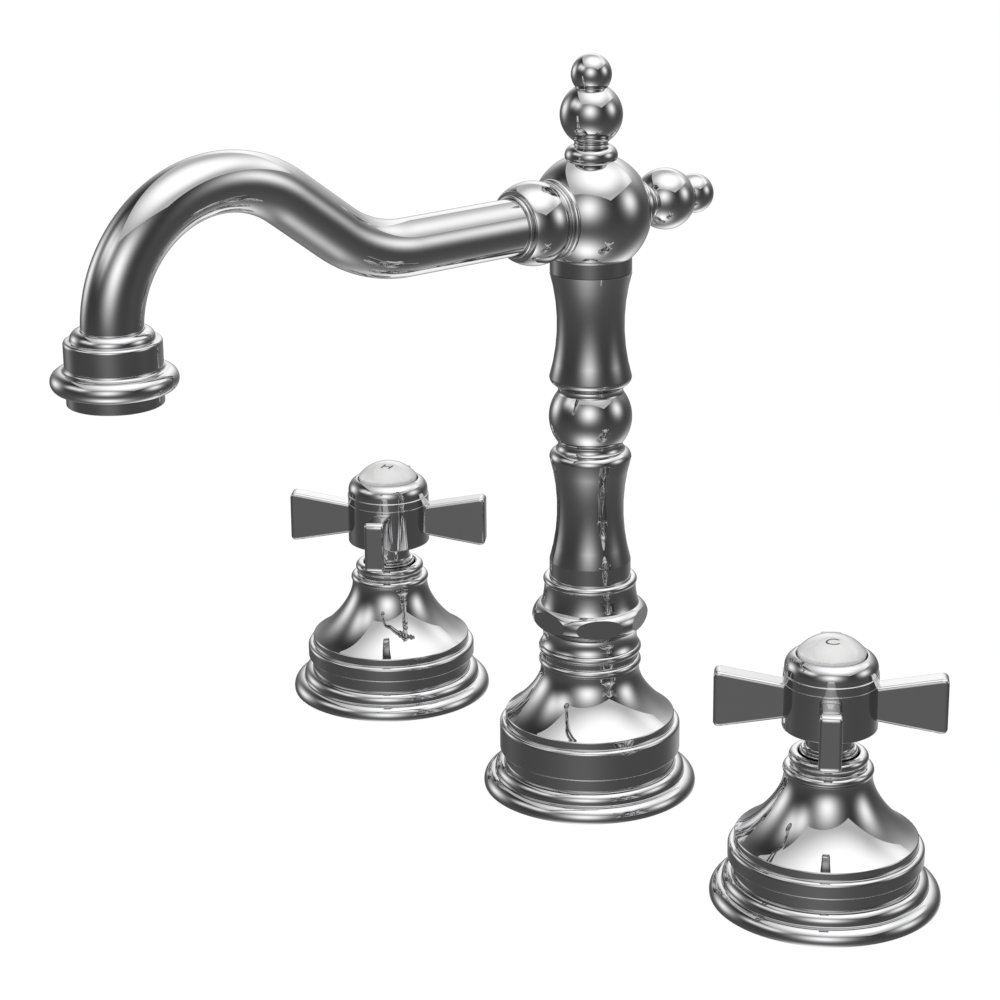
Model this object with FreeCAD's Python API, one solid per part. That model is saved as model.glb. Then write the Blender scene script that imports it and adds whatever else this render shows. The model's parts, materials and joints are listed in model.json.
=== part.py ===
import FreeCAD, Part
import math
import os

from FreeCAD import Vector

# A widespread bathroom mixer faucet: a turned spout column with a swivelling gooseneck,
# and a hot and a cold valve with cross handles, each on its own round deck flange.
# Millimetres. The origin is on the column's axis at the deck, +Z is up, the spout points
# to -Y, hot is on -X and cold on +X. Lengths stack up from the deck, so a change in one
# piece carries along everything that stands on it.

# Layout
VALVE_CENTRES = 203.2      # hot to cold, the 8 inch widespread spacing
DECK = 24.0                # worktop that the mounting nuts are drawn up to

# Fits
SEAT = 0.05                # radial clearance of pieces that are screwed or pushed together
RUN = 0.06                 # radial clearance of a shaft that turns in its bore
FREE = 0.5                 # gap between pieces that turn past each other
PLAY = 0.1                 # end play of a turning piece

# Pipe thread, G 1/2, drawn as rings
SHANK_R = 10.48
PITCH = 1.814
THREAD_DEPTH = 0.6

# Deck flange: an outer rim and an inner roll, with the bell's seat sunk in its top
FLANGE_R = 32.35
FLANGE_TALL = 7.7
RIM_ROUND = 3.3
RIM_RISE = 1.0             # the rim's widest height
ROLL_R = 28.9
ROLL_ROUND = 2.6
BELL_SEAT_DEEP = 2.0
GASKET_R = 27.0
GASKET_THICK = 2.0

# Bells: an inset foot, a drum, a lip and a flared skirt up to a beaded neck
FOOT_R = 26.2
REVEAL = 3.8               # inset band between the flange and the drum
DRUM_R = 27.4
DRUM_EDGE = 1.1
DRUM_FOOT_EDGE = 0.65
LIP_R = 25.7
LIP_EDGE = 0.6
LIP_RISE = 2.7
BELL_WALL = 2.4

# The spout's bell
SPOUT_DRUM = 9.4
SPOUT_SKIRT = 14.5
SPOUT_SKIRT_ANGLE = 34.0   # slope where the skirt meets the lip, degrees
SPOUT_SKIRT_PULL = 5.0
SPOUT_NECK_R = 14.9
SPOUT_NECK_PULL = 5.1
BEAD_R = 15.45
BEAD_ROUND = 1.3
LOWER_BEAD_RISE = 2.4
BEAD_SPACING = 4.3
BEAD_GROOVE_R = 14.4

# A valve's bell
VALVE_DRUM = 4.9
VALVE_SKIRT = 18.1
VALVE_SKIRT_ANGLE = 29.0
VALVE_SKIRT_PULL = 6.9
VALVE_NECK_R = 12.3
VALVE_NECK_PULL = 5.9
COLLAR_BEAD_R = 12.65
COLLAR_BEAD_ROUND = 1.4
COLLAR_BEAD_RISE = 1.6
COLLAR_GROOVE_R = 10.6
MOUTH_BEAD_R = 11.05
MOUTH_BEAD_ROUND = 1.5
MOUTH_BEAD_RISE = 3.7
MOUTH_R = 8.4
MOUTH_LIP = 0.6

# Spout shank and the union nut that stands on the bell
SHANK_BORE_R = 7.0
SHANK_SHOULDER_R = 15.0
SHANK_SHOULDER = 4.5
UNION_THREAD_R = 12.0
UNION_THREAD = 7.9
UNION_R = 17.45
UNION_ROUND = 3.6
UNION_RISE = 9.2
UNION_FLATS = 31.9
UNION_FOOT_R = 14.9
UNION_NECK_R = 14.1
UNION_NECK_RISE = 2.4
CUP_WAIST_R = 13.75
CUP_WAIST_RISE = 17.5
CUP_BEAD_R = 14.05
CUP_BEAD_ROUND = 1.1
CUP_BEAD_RISE = 20.2
UNION_LIP_R = 9.6
UNION_LIP = 4.0

# Column: a riser tube inside two waisted sleeves and a ball
RISER_R = 8.0
RISER_BORE_R = 6.2
RISER_COLLAR_R = 11.4
RISER_COLLAR = 2.5
RISER_SEAL = 1.5
SLEEVE_R = 12.15
WAIST_R = 9.9
FOOT_BAND = 10.7
LOWER_WAIST = 31.9
UPPER_WAIST = 31.63
SLEEVE_ROUND = 2.5
BALL_R = 12.3
BALL_PIECE = 19.7          # from sleeve to sleeve
BALL_NECK_R = 9.6
BALL_COVE = 1.2            # radius of the hollow between the ball and its neck

# Swivel of the spout on the riser's spigot, heights above the upper sleeve
SWIVEL = 75.0              # degrees to each side
SWIVEL_WASHER = 0.5
WASHER_SUNK = 0.53         # of its thickness, in the sleeve's top
WASHER_RIM = 1.8
SPIGOT = 11.07
RING_RISES = (6.27, 9.27)
RING_WIDTH = 1.8
RING_DEPTH = 0.9
GRUB_RISE = 2.67
GRUB_R = 2.0
GRUB_TIP_R = 1.2
GRUB_SOCKET = 2.0
GRUB_SOCKET_DEEP = 1.5
STOP_DEPTH = 1.1

# Spout hub, its collar and the two finials, distances from the hub's centre
HUB_R = 17.5
HUB_SUNK = 0.5             # how far the ball's lowest point lies below the swivel's foot
COLLAR_R = 11.95
HUB_NECK_R = 9.95
HUB_PORT_R = 6.0
STEM_R = 3.4
STEM_DEEP = 8.0
FINIAL_RING_R = 7.65
FINIAL_RING_ROUND = 2.95
FINIAL_RING_SUNK = 0.7
FINIAL_RING_AT = HUB_R - FINIAL_RING_SUNK
FINIAL_NECK_R = 4.85
FINIAL_BALL_R = 9.05
FINIAL_BALL_RISE = 11.0
FINIAL_BALL_AT = HUB_R + FINIAL_BALL_RISE
TIP_BALL_R = 5.85
TIP_BALL_RISE = 22.5
TIP_BALL_AT = HUB_R + TIP_BALL_RISE

# Spout union and tube, distances from the column's axis
COUPLING_SPIGOT_R = 7.4
COUPLING_SEAT_DEEP = 8.5
COUPLING_SEAT_AT = HUB_R - COUPLING_SEAT_DEEP
COUPLING_SEAL = 1.4
HUB_BEADS = ((11.5, 1.0, 3.65), (10.9, 0.45, 2.15), (10.9, 0.55, 1.1))  # radius, round, sunk in HUB_R
HUB_BEAD_GROOVE_R = 10.4
COUPLING_BALL_R = 12.1
COUPLING_BALL_OUT = 4.2
COUPLING_BALL_AT = HUB_R + COUPLING_BALL_OUT
COUPLING_BACK = 4.75       # from the ball's centre to the flat at its back
COUPLING_FACE = 6.5        # and to the flat round the tube
TUBE_BEAD_R = 8.95
TUBE_BEAD_ROUND = 0.65
TUBE_BEAD_GROOVE_R = 8.5
TUBE_BEADS = 1
TUBE_R = 8.15
TUBE_WALL = 1.5
TUBE_SOCKET_OUT = 6.5
TUBE_FROM = HUB_R + TUBE_SOCKET_OUT
RISE_FROM = 66.6
RISE_BEND_R = 39.0
RISE_ANGLE = 36.7
CREST_BEND_R = 34.1
SPOUT_REACH = 160.4        # column axis to outlet axis

# Outlet, lengths from the end of the tube
TUBE_DROP = 6.3            # straight end of the tube below the crest's bend
COLLAR_SOCKET = 4.6
COLLAR_BELOW = 2.4
OUTLET_R = 12.75
OUTLET_EDGE = 0.9
SHOULDER_R = 11.0
SHOULDER_ROUND = 2.4
SHOULDER_RISE = 0.2        # upright wall under the rounded shoulder
AERATOR_TALL = 9.9
AERATOR_BEAD_R = 16.6
AERATOR_BEAD_ROUND = 2.75
AERATOR_BEAD_DROP = 3.7
AERATOR_R = 12.65
AERATOR_LIP = 0.9
AERATOR_MOUTH_R = 9.6
AERATOR_THREAD_R = 10.9
AERATOR_THREAD = 3.6
INSERT_TALL = 3.9
INSERT_HOLE_R = 0.85
INSERT_PITCH = 3.3         # between the rings of holes, and about that between holes in a ring
AERATOR_GASKET_R = 8.0
FILTER_THICK = 0.5

# Valve: body, headwork and ceramic discs
LOCK_NUT_FLATS = 30.0
LOCK_NUT = 5.0
BODY_ABOVE_NUT = 11.3
CHAMBER_R = 8.55
CHAMBER_DEEP = 16.0
PORT_AT = 4.4              # each water port's distance from the valve's axis
INLET_R = 3.0
OUTLET_GALLERY_R = 2.6
SEAL_THICK = 2.6
HEAD_FLANGE_R = 9.6
HEAD_FLANGE = 5.0
BONNET_R = 6.5
BONNET = 11.0
DISC_CAVITY_R = 7.7
DISC_R = 7.35
DISC_THICK = 3.0
PORT_R = 2.3
POCKET_WIDTH = 5.0
POCKET_DEEP = 1.5
SPINDLE_R = 4.0
DRIVE_R = 6.2
DRIVE_THICK = 2.5
LUG_R = 7.2
LUG_WIDTH = 30.0           # degrees
STOP_R = 6.7
STOP_GAP = 1.5             # degrees
QUARTER_TURN = 90.0
SQUARE = 6.0
SQUARE_TALL = 12.0
SPINDLE_RING_RISE = 6.0
SPINDLE_RING_WIDTH = 1.6
SPINDLE_RING_DEPTH = 0.8

# Handle
STEM_DIP = 0.25            # how far the stem reaches into the bell's mouth
STEM_LENGTH = 7.55
HANDLE_STEM_R = 6.6
STEM_BEADS = ((8.1, 0.45), (7.75, 0.4))     # outer and own radius, from the foot up
SHOULDER_DEEP = 2.25
HANDLE_R = 13.2
HANDLE_TALL = 13.6
HANDLE_EDGE = 0.4
CAP_WALL = 2.2             # between the drum's side and the thread of the cap
CAP_THREAD_R = HANDLE_R - CAP_WALL
CAP_THREAD = 3.1
ARM_RISE = 7.75
ARM_REACH = 18.85          # from the drum's side to an arm's tip
ARM_TIP = HANDLE_R + ARM_REACH
ARM_THICK = 6.2
ARM_ROOT_HALF = 5.1
ARM_TIP_HALF = 8.4
ARM_SUNK = 3.2             # how far an arm's root is let into the drum
ARM_CORNER = 1.9
ARM_EDGE = 0.9
ARM_TURN = 45.0
WEB = 3.0
SCREW_R = 1.9
SCREW_GRIP = 12.0
SCREW_HEAD_R = 3.5
SCREW_HEAD = 2.4
SCREW_SOCKET = 3.0
SCREW_SOCKET_DEEP = 1.6
SCREW_WELL_R = 4.2

# Index cap: a domed ring that holds a porcelain button
CAP_BAND = 2.6
CAP_STEP = 0.3
CAP_ROUND = 3.9
CAP_ROUND_RISE = 1.4
CAP_LIP = 0.4              # round of the opening's edge
CAP_RIM = 3.8              # between the drum's side and the button
INDEX_R = HANDLE_R - CAP_RIM
INDEX_LEDGE_WIDE = 1.2
INDEX_FLANGE_R = INDEX_R + INDEX_LEDGE_WIDE
INDEX_FLANGE = 1.6
INDEX_WALL = 3.9
INDEX_DOME = 4.55
INDEX_GAP = 0.35           # round the button, in the cap's opening

# Under the deck
WASHER_R = 20.0
WASHER_THICK = 2.0
NUT_FLATS = 32.0
NUT_TALL = 8.0
BLOCK_R = 12.5
BLOCK_GAP = 4.0
BLOCK_TALL = 24.0
INLET_TALL = 14.0
INLET_SEAT_R = 6.0
INLET_SEAT = 8.0
NIPPLE_R = 7.0
NIPPLE_BORE_R = 3.8
NIPPLE_REACH = 26.0
NIPPLE_DROP = 14.0
TEE_R = 12.5
TEE_RISE = 12.0            # the tee's top above its nipples
TEE_SOCKET = 6.0
TEE_TALL = 23.0
LINK_R = 5.0
LINK_WALL = 1.0
LINK_DEEP = 8.0            # length of link pipe pushed into a nipple
LINK_NUT_FLATS = 19.0
LINK_NUT_GRIP = 7.0
LINK_NUT_CAP = 3.0

# Heights that follow, from the deck up
BELL_SEAT = FLANGE_TALL - BELL_SEAT_DEEP
DRUM_FOOT = FLANGE_TALL + REVEAL
BELL_TOP = DRUM_FOOT + SPOUT_DRUM + LIP_RISE + SPOUT_SKIRT + LOWER_BEAD_RISE + BEAD_SPACING + BEAD_ROUND
SHANK_TOP = BELL_TOP + UNION_THREAD
RISER_FOOT = SHANK_TOP + RISER_SEAL
UNION_LIP_FOOT = RISER_FOOT + RISER_COLLAR
SLEEVE_FOOT = UNION_LIP_FOOT + UNION_LIP
LOWER_LIP_Z = SLEEVE_FOOT + FOOT_BAND + LOWER_WAIST
BALL_FOOT = LOWER_LIP_Z + SLEEVE_ROUND
BALL_TOP = BALL_FOOT + BALL_PIECE
UPPER_LIP_Z = BALL_TOP + SLEEVE_ROUND
SLEEVE_TOP = UPPER_LIP_Z + UPPER_WAIST
WASHER_FOOT = SLEEVE_TOP - WASHER_SUNK
SWIVEL_FOOT = WASHER_FOOT + SWIVEL_WASHER + PLAY
SPIGOT_TOP = SLEEVE_TOP + SPIGOT
GRUB_Z = SLEEVE_TOP + GRUB_RISE
HUB_Z = SWIVEL_FOOT + HUB_R - HUB_SUNK
TUBE_BORE_R = TUBE_R - TUBE_WALL

# Heights in a valve, up from the flange's seat
BODY_TOP = BELL_SEAT + LOCK_NUT + BODY_ABOVE_NUT
BODY_SEAT = BODY_TOP - CHAMBER_DEEP
DISC_FLOOR = BODY_SEAT + SEAL_THICK
TURNING_FLOOR = DISC_FLOOR + DISC_THICK + PLAY
DRIVE_FOOT = TURNING_FLOOR + DISC_THICK
DISC_CAVITY_TOP = DRIVE_FOOT + DRIVE_THICK + FREE
HEAD_TOP = BODY_TOP + HEAD_FLANGE
VALVE_BELL_TOP = (DRUM_FOOT + VALVE_DRUM + LIP_RISE + VALVE_SKIRT + COLLAR_BEAD_RISE + MOUTH_BEAD_RISE
                  + MOUTH_BEAD_ROUND)
STEM_FOOT = VALVE_BELL_TOP - STEM_DIP
HANDLE_FOOT = STEM_FOOT + STEM_LENGTH
HANDLE_TOP = HANDLE_FOOT + HANDLE_TALL
CAP_THREAD_TOP = HANDLE_TOP + CAP_THREAD
INDEX_LEDGE = CAP_THREAD_TOP + INDEX_FLANGE
SPINDLE_SHOULDER = STEM_FOOT + SHOULDER_DEEP
SPINDLE_TOP = SPINDLE_SHOULDER + SQUARE_TALL
WEB_TOP = SPINDLE_TOP + WEB

# Heights under the deck
NUT_TOP = -DECK - WASHER_THICK
NUT_FOOT = NUT_TOP - NUT_TALL
BLOCK_TOP = NUT_FOOT - BLOCK_GAP
BLOCK_FOOT = BLOCK_TOP - BLOCK_TALL
BODY_FOOT = BLOCK_FOOT - INLET_TALL
NIPPLE_Z = BLOCK_TOP - NIPPLE_DROP
TEE_TOP = NIPPLE_Z + TEE_RISE
SHANK_FOOT = TEE_TOP - TEE_SOCKET
TEE_FOOT = TEE_TOP - TEE_TALL

# The axes that the three deck units stand on
HOT_X, COLD_X = -VALVE_CENTRES / 2, VALVE_CENTRES / 2
UNITS = (HOT_X, 0.0, COLD_X)
VALVES = (HOT_X, COLD_X)

FULL = 360.0
UP = Vector(0, 0, 1)
FAR = 400.0                # longer than any piece, for tools that cut right through


def spot(r, z):
    """The point at radius r and height z in the half-plane that outlines are drawn in."""
    return Vector(r, 0, z)


def on_circle(cr, cz, radius, angle):
    """The point of a circle at an angle in degrees from the outward direction."""
    a = math.radians(angle)
    return cr + radius * math.cos(a), cz + radius * math.sin(a)


def cove_radius(inset, rise, radius):
    """The radius of a cove that leaves a round form and meets a wall upright.

    The wall's foot lies at inset and rise from the centre of the round form.
    """
    return (inset ** 2 + rise ** 2 - radius ** 2) / (2 * (radius - inset))


class Outline:
    """A closed outline of radius and height, drawn anticlockwise and turned about Z."""

    def __init__(self, r, z):
        self.start = (r, z)
        self.at = (r, z)
        self.edges = []

    def line(self, r, z):
        """Runs straight to a point."""
        if math.dist(self.at, (r, z)) > 1e-6:
            self.edges.append(Part.LineSegment(spot(*self.at), spot(r, z)).toShape())
            self.at = (r, z)
        return self

    def through(self, mid_r, mid_z, r, z):
        """Runs along an arc through a middle point to an end point."""
        points = (self.at, (mid_r, mid_z), (r, z))
        self.edges.append(Part.Arc(*[spot(*p) for p in points]).toShape())
        self.at = (r, z)
        return self

    def arc(self, cr, cz, radius, first, last):
        """Runs to an arc about (cr, cz) and along it between two angles in degrees."""
        self.line(*on_circle(cr, cz, radius, first))
        middle = on_circle(cr, cz, radius, (first + last) / 2)
        return self.through(*middle, *on_circle(cr, cz, radius, last))

    def curve(self, *poles):
        """Runs along a smooth curve that is pulled by the poles and ends at the last."""
        bezier = Part.BezierCurve()
        bezier.setPoles([spot(*p) for p in (self.at,) + poles])
        self.edges.append(bezier.toShape())
        self.at = poles[-1]
        return self

    def bead(self, out_r, z, radius, low_r, high_r):
        """Runs up over a round bead that stands on a wall of low_r below and high_r above."""
        centre = out_r - radius
        low, high = [math.acos(max(r - centre, 0.0) / radius) for r in (low_r, high_r)]
        self.line(low_r, z - radius * math.sin(low))
        self.arc(centre, z, radius, -math.degrees(low), math.degrees(high))
        return self.line(high_r, z + radius * math.sin(high))

    def bead_and_cove(self, out_r, z, radius, low_r, wall_r, wall_z):
        """Runs up over a bead and off it through a cove that meets a wall's foot upright."""
        centre = out_r - radius
        inset, rise = wall_r - centre, wall_z - z
        cove = cove_radius(inset, rise, radius)
        turn = math.degrees(math.atan2(rise, inset + cove))
        low = math.degrees(math.acos(max(low_r - centre, 0.0) / radius))
        self.line(low_r, z - radius * math.sin(math.radians(low)))
        self.arc(centre, z, radius, -low, turn)
        return self.arc(wall_r + cove, wall_z, cove, FULL / 2 + turn, FULL / 2)

    def thread(self, r, top):
        """Runs up over the rings of a thread of outer radius r."""
        root = r - THREAD_DEPTH
        for _ in range(int((top - self.at[1]) / PITCH)):
            foot = self.at[1]
            self.line(r, foot + 0.25 * PITCH).line(root, foot + 0.55 * PITCH)
            self.line(root, foot + 0.7 * PITCH).line(r, foot + PITCH)
        return self.line(r, top)

    def turn(self):
        """Closes the outline and turns it into a solid."""
        self.line(*self.start)
        solid = Part.Face(Part.Wire(self.edges)).revolve(Vector(), UP, FULL)
        solid = Part.Solid(solid.Shells[0])
        if solid.Volume < 0:
            solid.reverse()
        return solid


def disc(radius, low, high):
    """A plain upright cylinder between two heights."""
    return Part.makeCylinder(radius, high - low, Vector(0, 0, low))


def ring(inner_r, outer_r, low, high):
    """A plain ring between two heights."""
    return disc(outer_r, low, high).cut(disc(inner_r, low, high))


def sector(inner_r, outer_r, low, high, first, last):
    """The part of a ring between two angles in degrees from +X."""
    block = Outline(inner_r, low).line(outer_r, low).line(outer_r, high).line(inner_r, high)
    block.line(*block.start)
    face = Part.Face(Part.Wire(block.edges))
    face.rotate(Vector(), UP, first)
    return face.revolve(Vector(), UP, last - first)


def prism(sides, across, low, high):
    """An upright prism of a regular polygon, across its flats, with a corner on +X."""
    corner = across / 2 / math.cos(math.pi / sides)
    points = [Vector(*on_circle(0, 0, corner, FULL * k / sides), low) for k in range(sides + 1)]
    return Part.Face(Part.makePolygon(points)).extrude(Vector(0, 0, high - low))


def rod(radius, start, way, length):
    """A cylinder from a point along a direction."""
    return Part.makeCylinder(radius, length, Vector(*start), Vector(*way))


def o_ring(outer_r, thick, z):
    """A sealing ring of round section."""
    return Part.makeTorus(outer_r - thick / 2, thick / 2, Vector(0, 0, z))


def lay_along_y(solid, degrees):
    """Tips a piece turned about Z over about the hub's centre: 90 to the front, -90 to the back."""
    solid.rotate(Vector(), Vector(1, 0, 0), degrees)
    solid.translate(Vector(0, 0, HUB_Z))
    return solid


def swept_tube(path, start, way, outer_r, inner_r):
    """A tube of round section along a path that leaves its start in the given direction."""

    def pipe(radius):
        circle = Part.Wire(Part.Circle(start, way, radius).toShape())
        return path.makePipeShell([circle], True, False)

    return pipe(outer_r).cut(pipe(inner_r))


def at_each(solid, places):
    """A group of copies of one piece, one on each upright axis."""
    copies = [solid.copy() for _ in places]
    for copy, x in zip(copies, places):
        copy.translate(Vector(x, 0, 0))
    return Part.makeCompound(copies)


def flange():
    """The deck flange: a rim, a roll above it and a sunk seat for the bell's foot."""
    bore, recess, seat = SHANK_R + SEAT, GASKET_R + SEAT, FOOT_R + SEAT
    edge = Outline(bore, GASKET_THICK).line(recess, GASKET_THICK).line(recess, 0)
    foot_angle = math.degrees(math.asin(RIM_RISE / RIM_ROUND))
    edge.arc(FLANGE_R - RIM_ROUND, RIM_RISE, RIM_ROUND, -foot_angle, 90)
    edge.line(ROLL_R, RIM_RISE + RIM_ROUND)
    edge.arc(ROLL_R - ROLL_ROUND, FLANGE_TALL - ROLL_ROUND, ROLL_ROUND, 0, 90)
    return edge.line(seat, FLANGE_TALL).line(seat, BELL_SEAT).line(bore, BELL_SEAT).turn()


def bell_skirt(drum, skirt, angle, skirt_pull, neck_r, neck_pull):
    """The outside of a bell from its foot to its neck: foot, drum, lip and flared skirt."""
    drum_top = DRUM_FOOT + drum
    neck_z = drum_top + LIP_RISE + skirt
    edge = Outline(FOOT_R - BELL_WALL, BELL_SEAT).line(FOOT_R, BELL_SEAT).line(FOOT_R, DRUM_FOOT)
    edge.arc(DRUM_R - DRUM_FOOT_EDGE, DRUM_FOOT + DRUM_FOOT_EDGE, DRUM_FOOT_EDGE, -90, 0)
    edge.arc(DRUM_R - DRUM_EDGE, drum_top - DRUM_EDGE, DRUM_EDGE, 0, 90).line(LIP_R, drum_top)
    edge.arc(LIP_R - LIP_EDGE, drum_top + LIP_RISE - LIP_EDGE, LIP_EDGE, 0, 90 - angle)
    pull = on_circle(*edge.at, skirt_pull, FULL / 2 - angle)
    return edge.curve(pull, (neck_r, neck_z - neck_pull), (neck_r, neck_z))


def bell_hollow(edge, drum, bore_r, bore_foot):
    """Closes a bell's outline down its bore, under its skirt and inside its drum."""
    wall_r, drum_top = FOOT_R - BELL_WALL, DRUM_FOOT + drum
    edge.line(bore_r, edge.at[1]).line(bore_r, bore_foot)
    return edge.line(wall_r - BELL_WALL / 2, drum_top - BELL_WALL / 2).line(wall_r, drum_top - BELL_WALL)


def spout_bell():
    """The bell of the spout, with two beads round its neck."""
    edge = bell_skirt(SPOUT_DRUM, SPOUT_SKIRT, SPOUT_SKIRT_ANGLE, SPOUT_SKIRT_PULL,
                      SPOUT_NECK_R, SPOUT_NECK_PULL)
    neck_z = edge.at[1]
    lower = neck_z + LOWER_BEAD_RISE
    edge.bead(BEAD_R, lower, BEAD_ROUND, SPOUT_NECK_R, BEAD_GROOVE_R)
    edge.bead(BEAD_R, lower + BEAD_SPACING, BEAD_ROUND, BEAD_GROOVE_R, BEAD_R - BEAD_ROUND)
    return bell_hollow(edge, SPOUT_DRUM, UNION_THREAD_R + SEAT, neck_z - SPOUT_NECK_PULL).turn()


def valve_bell():
    """The bell of a valve, with a collar bead and an open mouth under the handle's stem."""
    edge = bell_skirt(VALVE_DRUM, VALVE_SKIRT, VALVE_SKIRT_ANGLE, VALVE_SKIRT_PULL,
                      VALVE_NECK_R, VALVE_NECK_PULL)
    neck_z = edge.at[1]
    collar_z = neck_z + COLLAR_BEAD_RISE
    edge.bead(COLLAR_BEAD_R, collar_z, COLLAR_BEAD_ROUND, VALVE_NECK_R, COLLAR_GROOVE_R)
    bead_root = MOUTH_BEAD_R - MOUTH_BEAD_ROUND
    edge.bead(MOUTH_BEAD_R, collar_z + MOUTH_BEAD_RISE, MOUTH_BEAD_ROUND, COLLAR_GROOVE_R, bead_root)
    edge.arc(MOUTH_R + MOUTH_LIP, edge.at[1] - MOUTH_LIP, MOUTH_LIP, 90, 180)
    return bell_hollow(edge, VALVE_DRUM, MOUTH_R, neck_z - VALVE_NECK_PULL).turn()


def deck_gasket():
    """The rubber ring let into a flange, flush with the deck."""
    return ring(SHANK_R + FREE, GASKET_R, 0, GASKET_THICK)


def clamp_washer():
    """The large washer under the deck."""
    return ring(SHANK_R + SEAT, WASHER_R, NUT_TOP, -DECK)


def hexagon_nut(flats, low, high):
    """A hexagon nut on the pipe thread."""
    return prism(6, flats, low, high).cut(disc(SHANK_R + SEAT, low, high))


def spout_shank():
    """The threaded shank: it stands on the flange and carries the union nut's thread."""
    shoulder_top = BELL_SEAT + SHANK_SHOULDER
    shank = Outline(SHANK_BORE_R, SHANK_FOOT).line(SHANK_R, SHANK_FOOT)
    shank.line(SHANK_R, TEE_TOP).thread(SHANK_R, 0).line(SHANK_R, BELL_SEAT)
    shank.line(SHANK_SHOULDER_R, BELL_SEAT).line(SHANK_SHOULDER_R, shoulder_top)
    shank.line(UNION_THREAD_R, shoulder_top).line(UNION_THREAD_R, BELL_TOP)
    return shank.thread(UNION_THREAD_R, SHANK_TOP).line(SHANK_BORE_R, SHANK_TOP).turn()


def inlet_tee():
    """The tee on the shank's foot, with a nipple to each side for the link pipes."""
    across = (-NIPPLE_REACH, 0, NIPPLE_Z), (1, 0, 0), 2 * NIPPLE_REACH
    tee = disc(TEE_R, TEE_FOOT, TEE_TOP).fuse(rod(NIPPLE_R, *across))
    sockets = [pipe_socket(0, side) for side in (-1, 1)]
    shank = disc(SHANK_R + SEAT, SHANK_FOOT, TEE_TOP)
    return tee.cut([shank, disc(SHANK_BORE_R, NIPPLE_Z, SHANK_FOOT), rod(NIPPLE_BORE_R, *across)] + sockets)


def pipe_socket(x, way):
    """The hole for a link pipe in the end of a nipple that points along X from the axis at x."""
    return rod(LINK_R + SEAT, (x + way * (NIPPLE_REACH - LINK_DEEP), 0, NIPPLE_Z), (way, 0, 0), LINK_DEEP)


def link_span():
    """The free length of a link pipe, between the tee's nipple and a valve's."""
    return VALVE_CENTRES / 2 - 2 * NIPPLE_REACH


def link_pipe(side):
    """The copper pipe from one valve to the tee."""
    start = side * (NIPPLE_REACH - LINK_DEEP), 0, NIPPLE_Z
    place = start, (side, 0, 0), link_span() + 2 * LINK_DEEP
    return rod(LINK_R, *place).cut(rod(LINK_R - LINK_WALL, *place))


def link_nuts():
    """The four compression nuts that hold the link pipes in their nipples."""
    nuts = []
    for side in (-1, 1):
        for x, way in ((NIPPLE_REACH, side), (NIPPLE_REACH + link_span(), -side)):
            nut = prism(6, LINK_NUT_FLATS, -LINK_NUT_GRIP, LINK_NUT_CAP)
            nut = nut.cut([disc(NIPPLE_R + SEAT, -LINK_NUT_GRIP, 0), disc(LINK_R + SEAT, 0, LINK_NUT_CAP)])
            nut.rotate(Vector(), Vector(0, 1, 0), 90 * way)
            nut.translate(Vector(side * x, 0, NIPPLE_Z))
            nuts.append(nut)
    return Part.makeCompound(nuts)


def union_nut():
    """The ball-shaped nut with six flats, whose cup holds the foot of the column."""
    bore, cup = UNION_THREAD_R + SEAT, SLEEVE_R + SEAT
    top = BELL_TOP + CUP_BEAD_RISE + CUP_BEAD_ROUND
    ball = UNION_R - UNION_ROUND, BELL_TOP + UNION_RISE, UNION_ROUND
    bead = CUP_BEAD_R - CUP_BEAD_ROUND, BELL_TOP + CUP_BEAD_RISE, CUP_BEAD_ROUND
    ball_foot, ball_top, bead_foot = -65, 78, -50
    nut = Outline(bore, BELL_TOP).line(UNION_FOOT_R, BELL_TOP)
    nut.through(UNION_NECK_R, BELL_TOP + UNION_NECK_RISE, *on_circle(*ball, ball_foot))
    nut.arc(*ball, ball_foot, ball_top)
    nut.through(CUP_WAIST_R, BELL_TOP + CUP_WAIST_RISE, *on_circle(*bead, bead_foot))
    nut.arc(*bead, bead_foot, 90)
    nut.line(cup, top).line(cup, SLEEVE_FOOT).line(UNION_LIP_R, SLEEVE_FOOT)
    nut.line(UNION_LIP_R, UNION_LIP_FOOT).line(bore, UNION_LIP_FOOT)
    return nut.turn().common(prism(6, UNION_FLATS, BELL_TOP, top))


def riser_seal():
    """The fibre washer between the shank and the riser's collar."""
    return ring(SHANK_BORE_R, RISER_COLLAR_R, SHANK_TOP, RISER_FOOT)


def riser():
    """The brass tube inside the column; its top is the spigot that the spout turns on."""
    tube = Outline(RISER_BORE_R, RISER_FOOT).line(RISER_COLLAR_R, RISER_FOOT)
    tube.line(RISER_COLLAR_R, UNION_LIP_FOOT).line(RISER_R, UNION_LIP_FOOT)
    for rise in RING_RISES:
        low = SLEEVE_TOP + rise - RING_WIDTH / 2
        tube.line(RISER_R, low).line(RISER_R - RING_DEPTH, low)
        tube.line(RISER_R - RING_DEPTH, low + RING_WIDTH).line(RISER_R, low + RING_WIDTH)
    tube = tube.line(RISER_R, SPIGOT_TOP).line(RISER_BORE_R, SPIGOT_TOP).turn()
    floor, half = RISER_R - STOP_DEPTH, GRUB_TIP_R + FREE
    reach = SWIVEL + math.degrees(math.asin(half / floor))
    return tube.cut(sector(floor, RISER_R + FREE, GRUB_Z - half, GRUB_Z + half, 90 - reach, 90 + reach))


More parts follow.
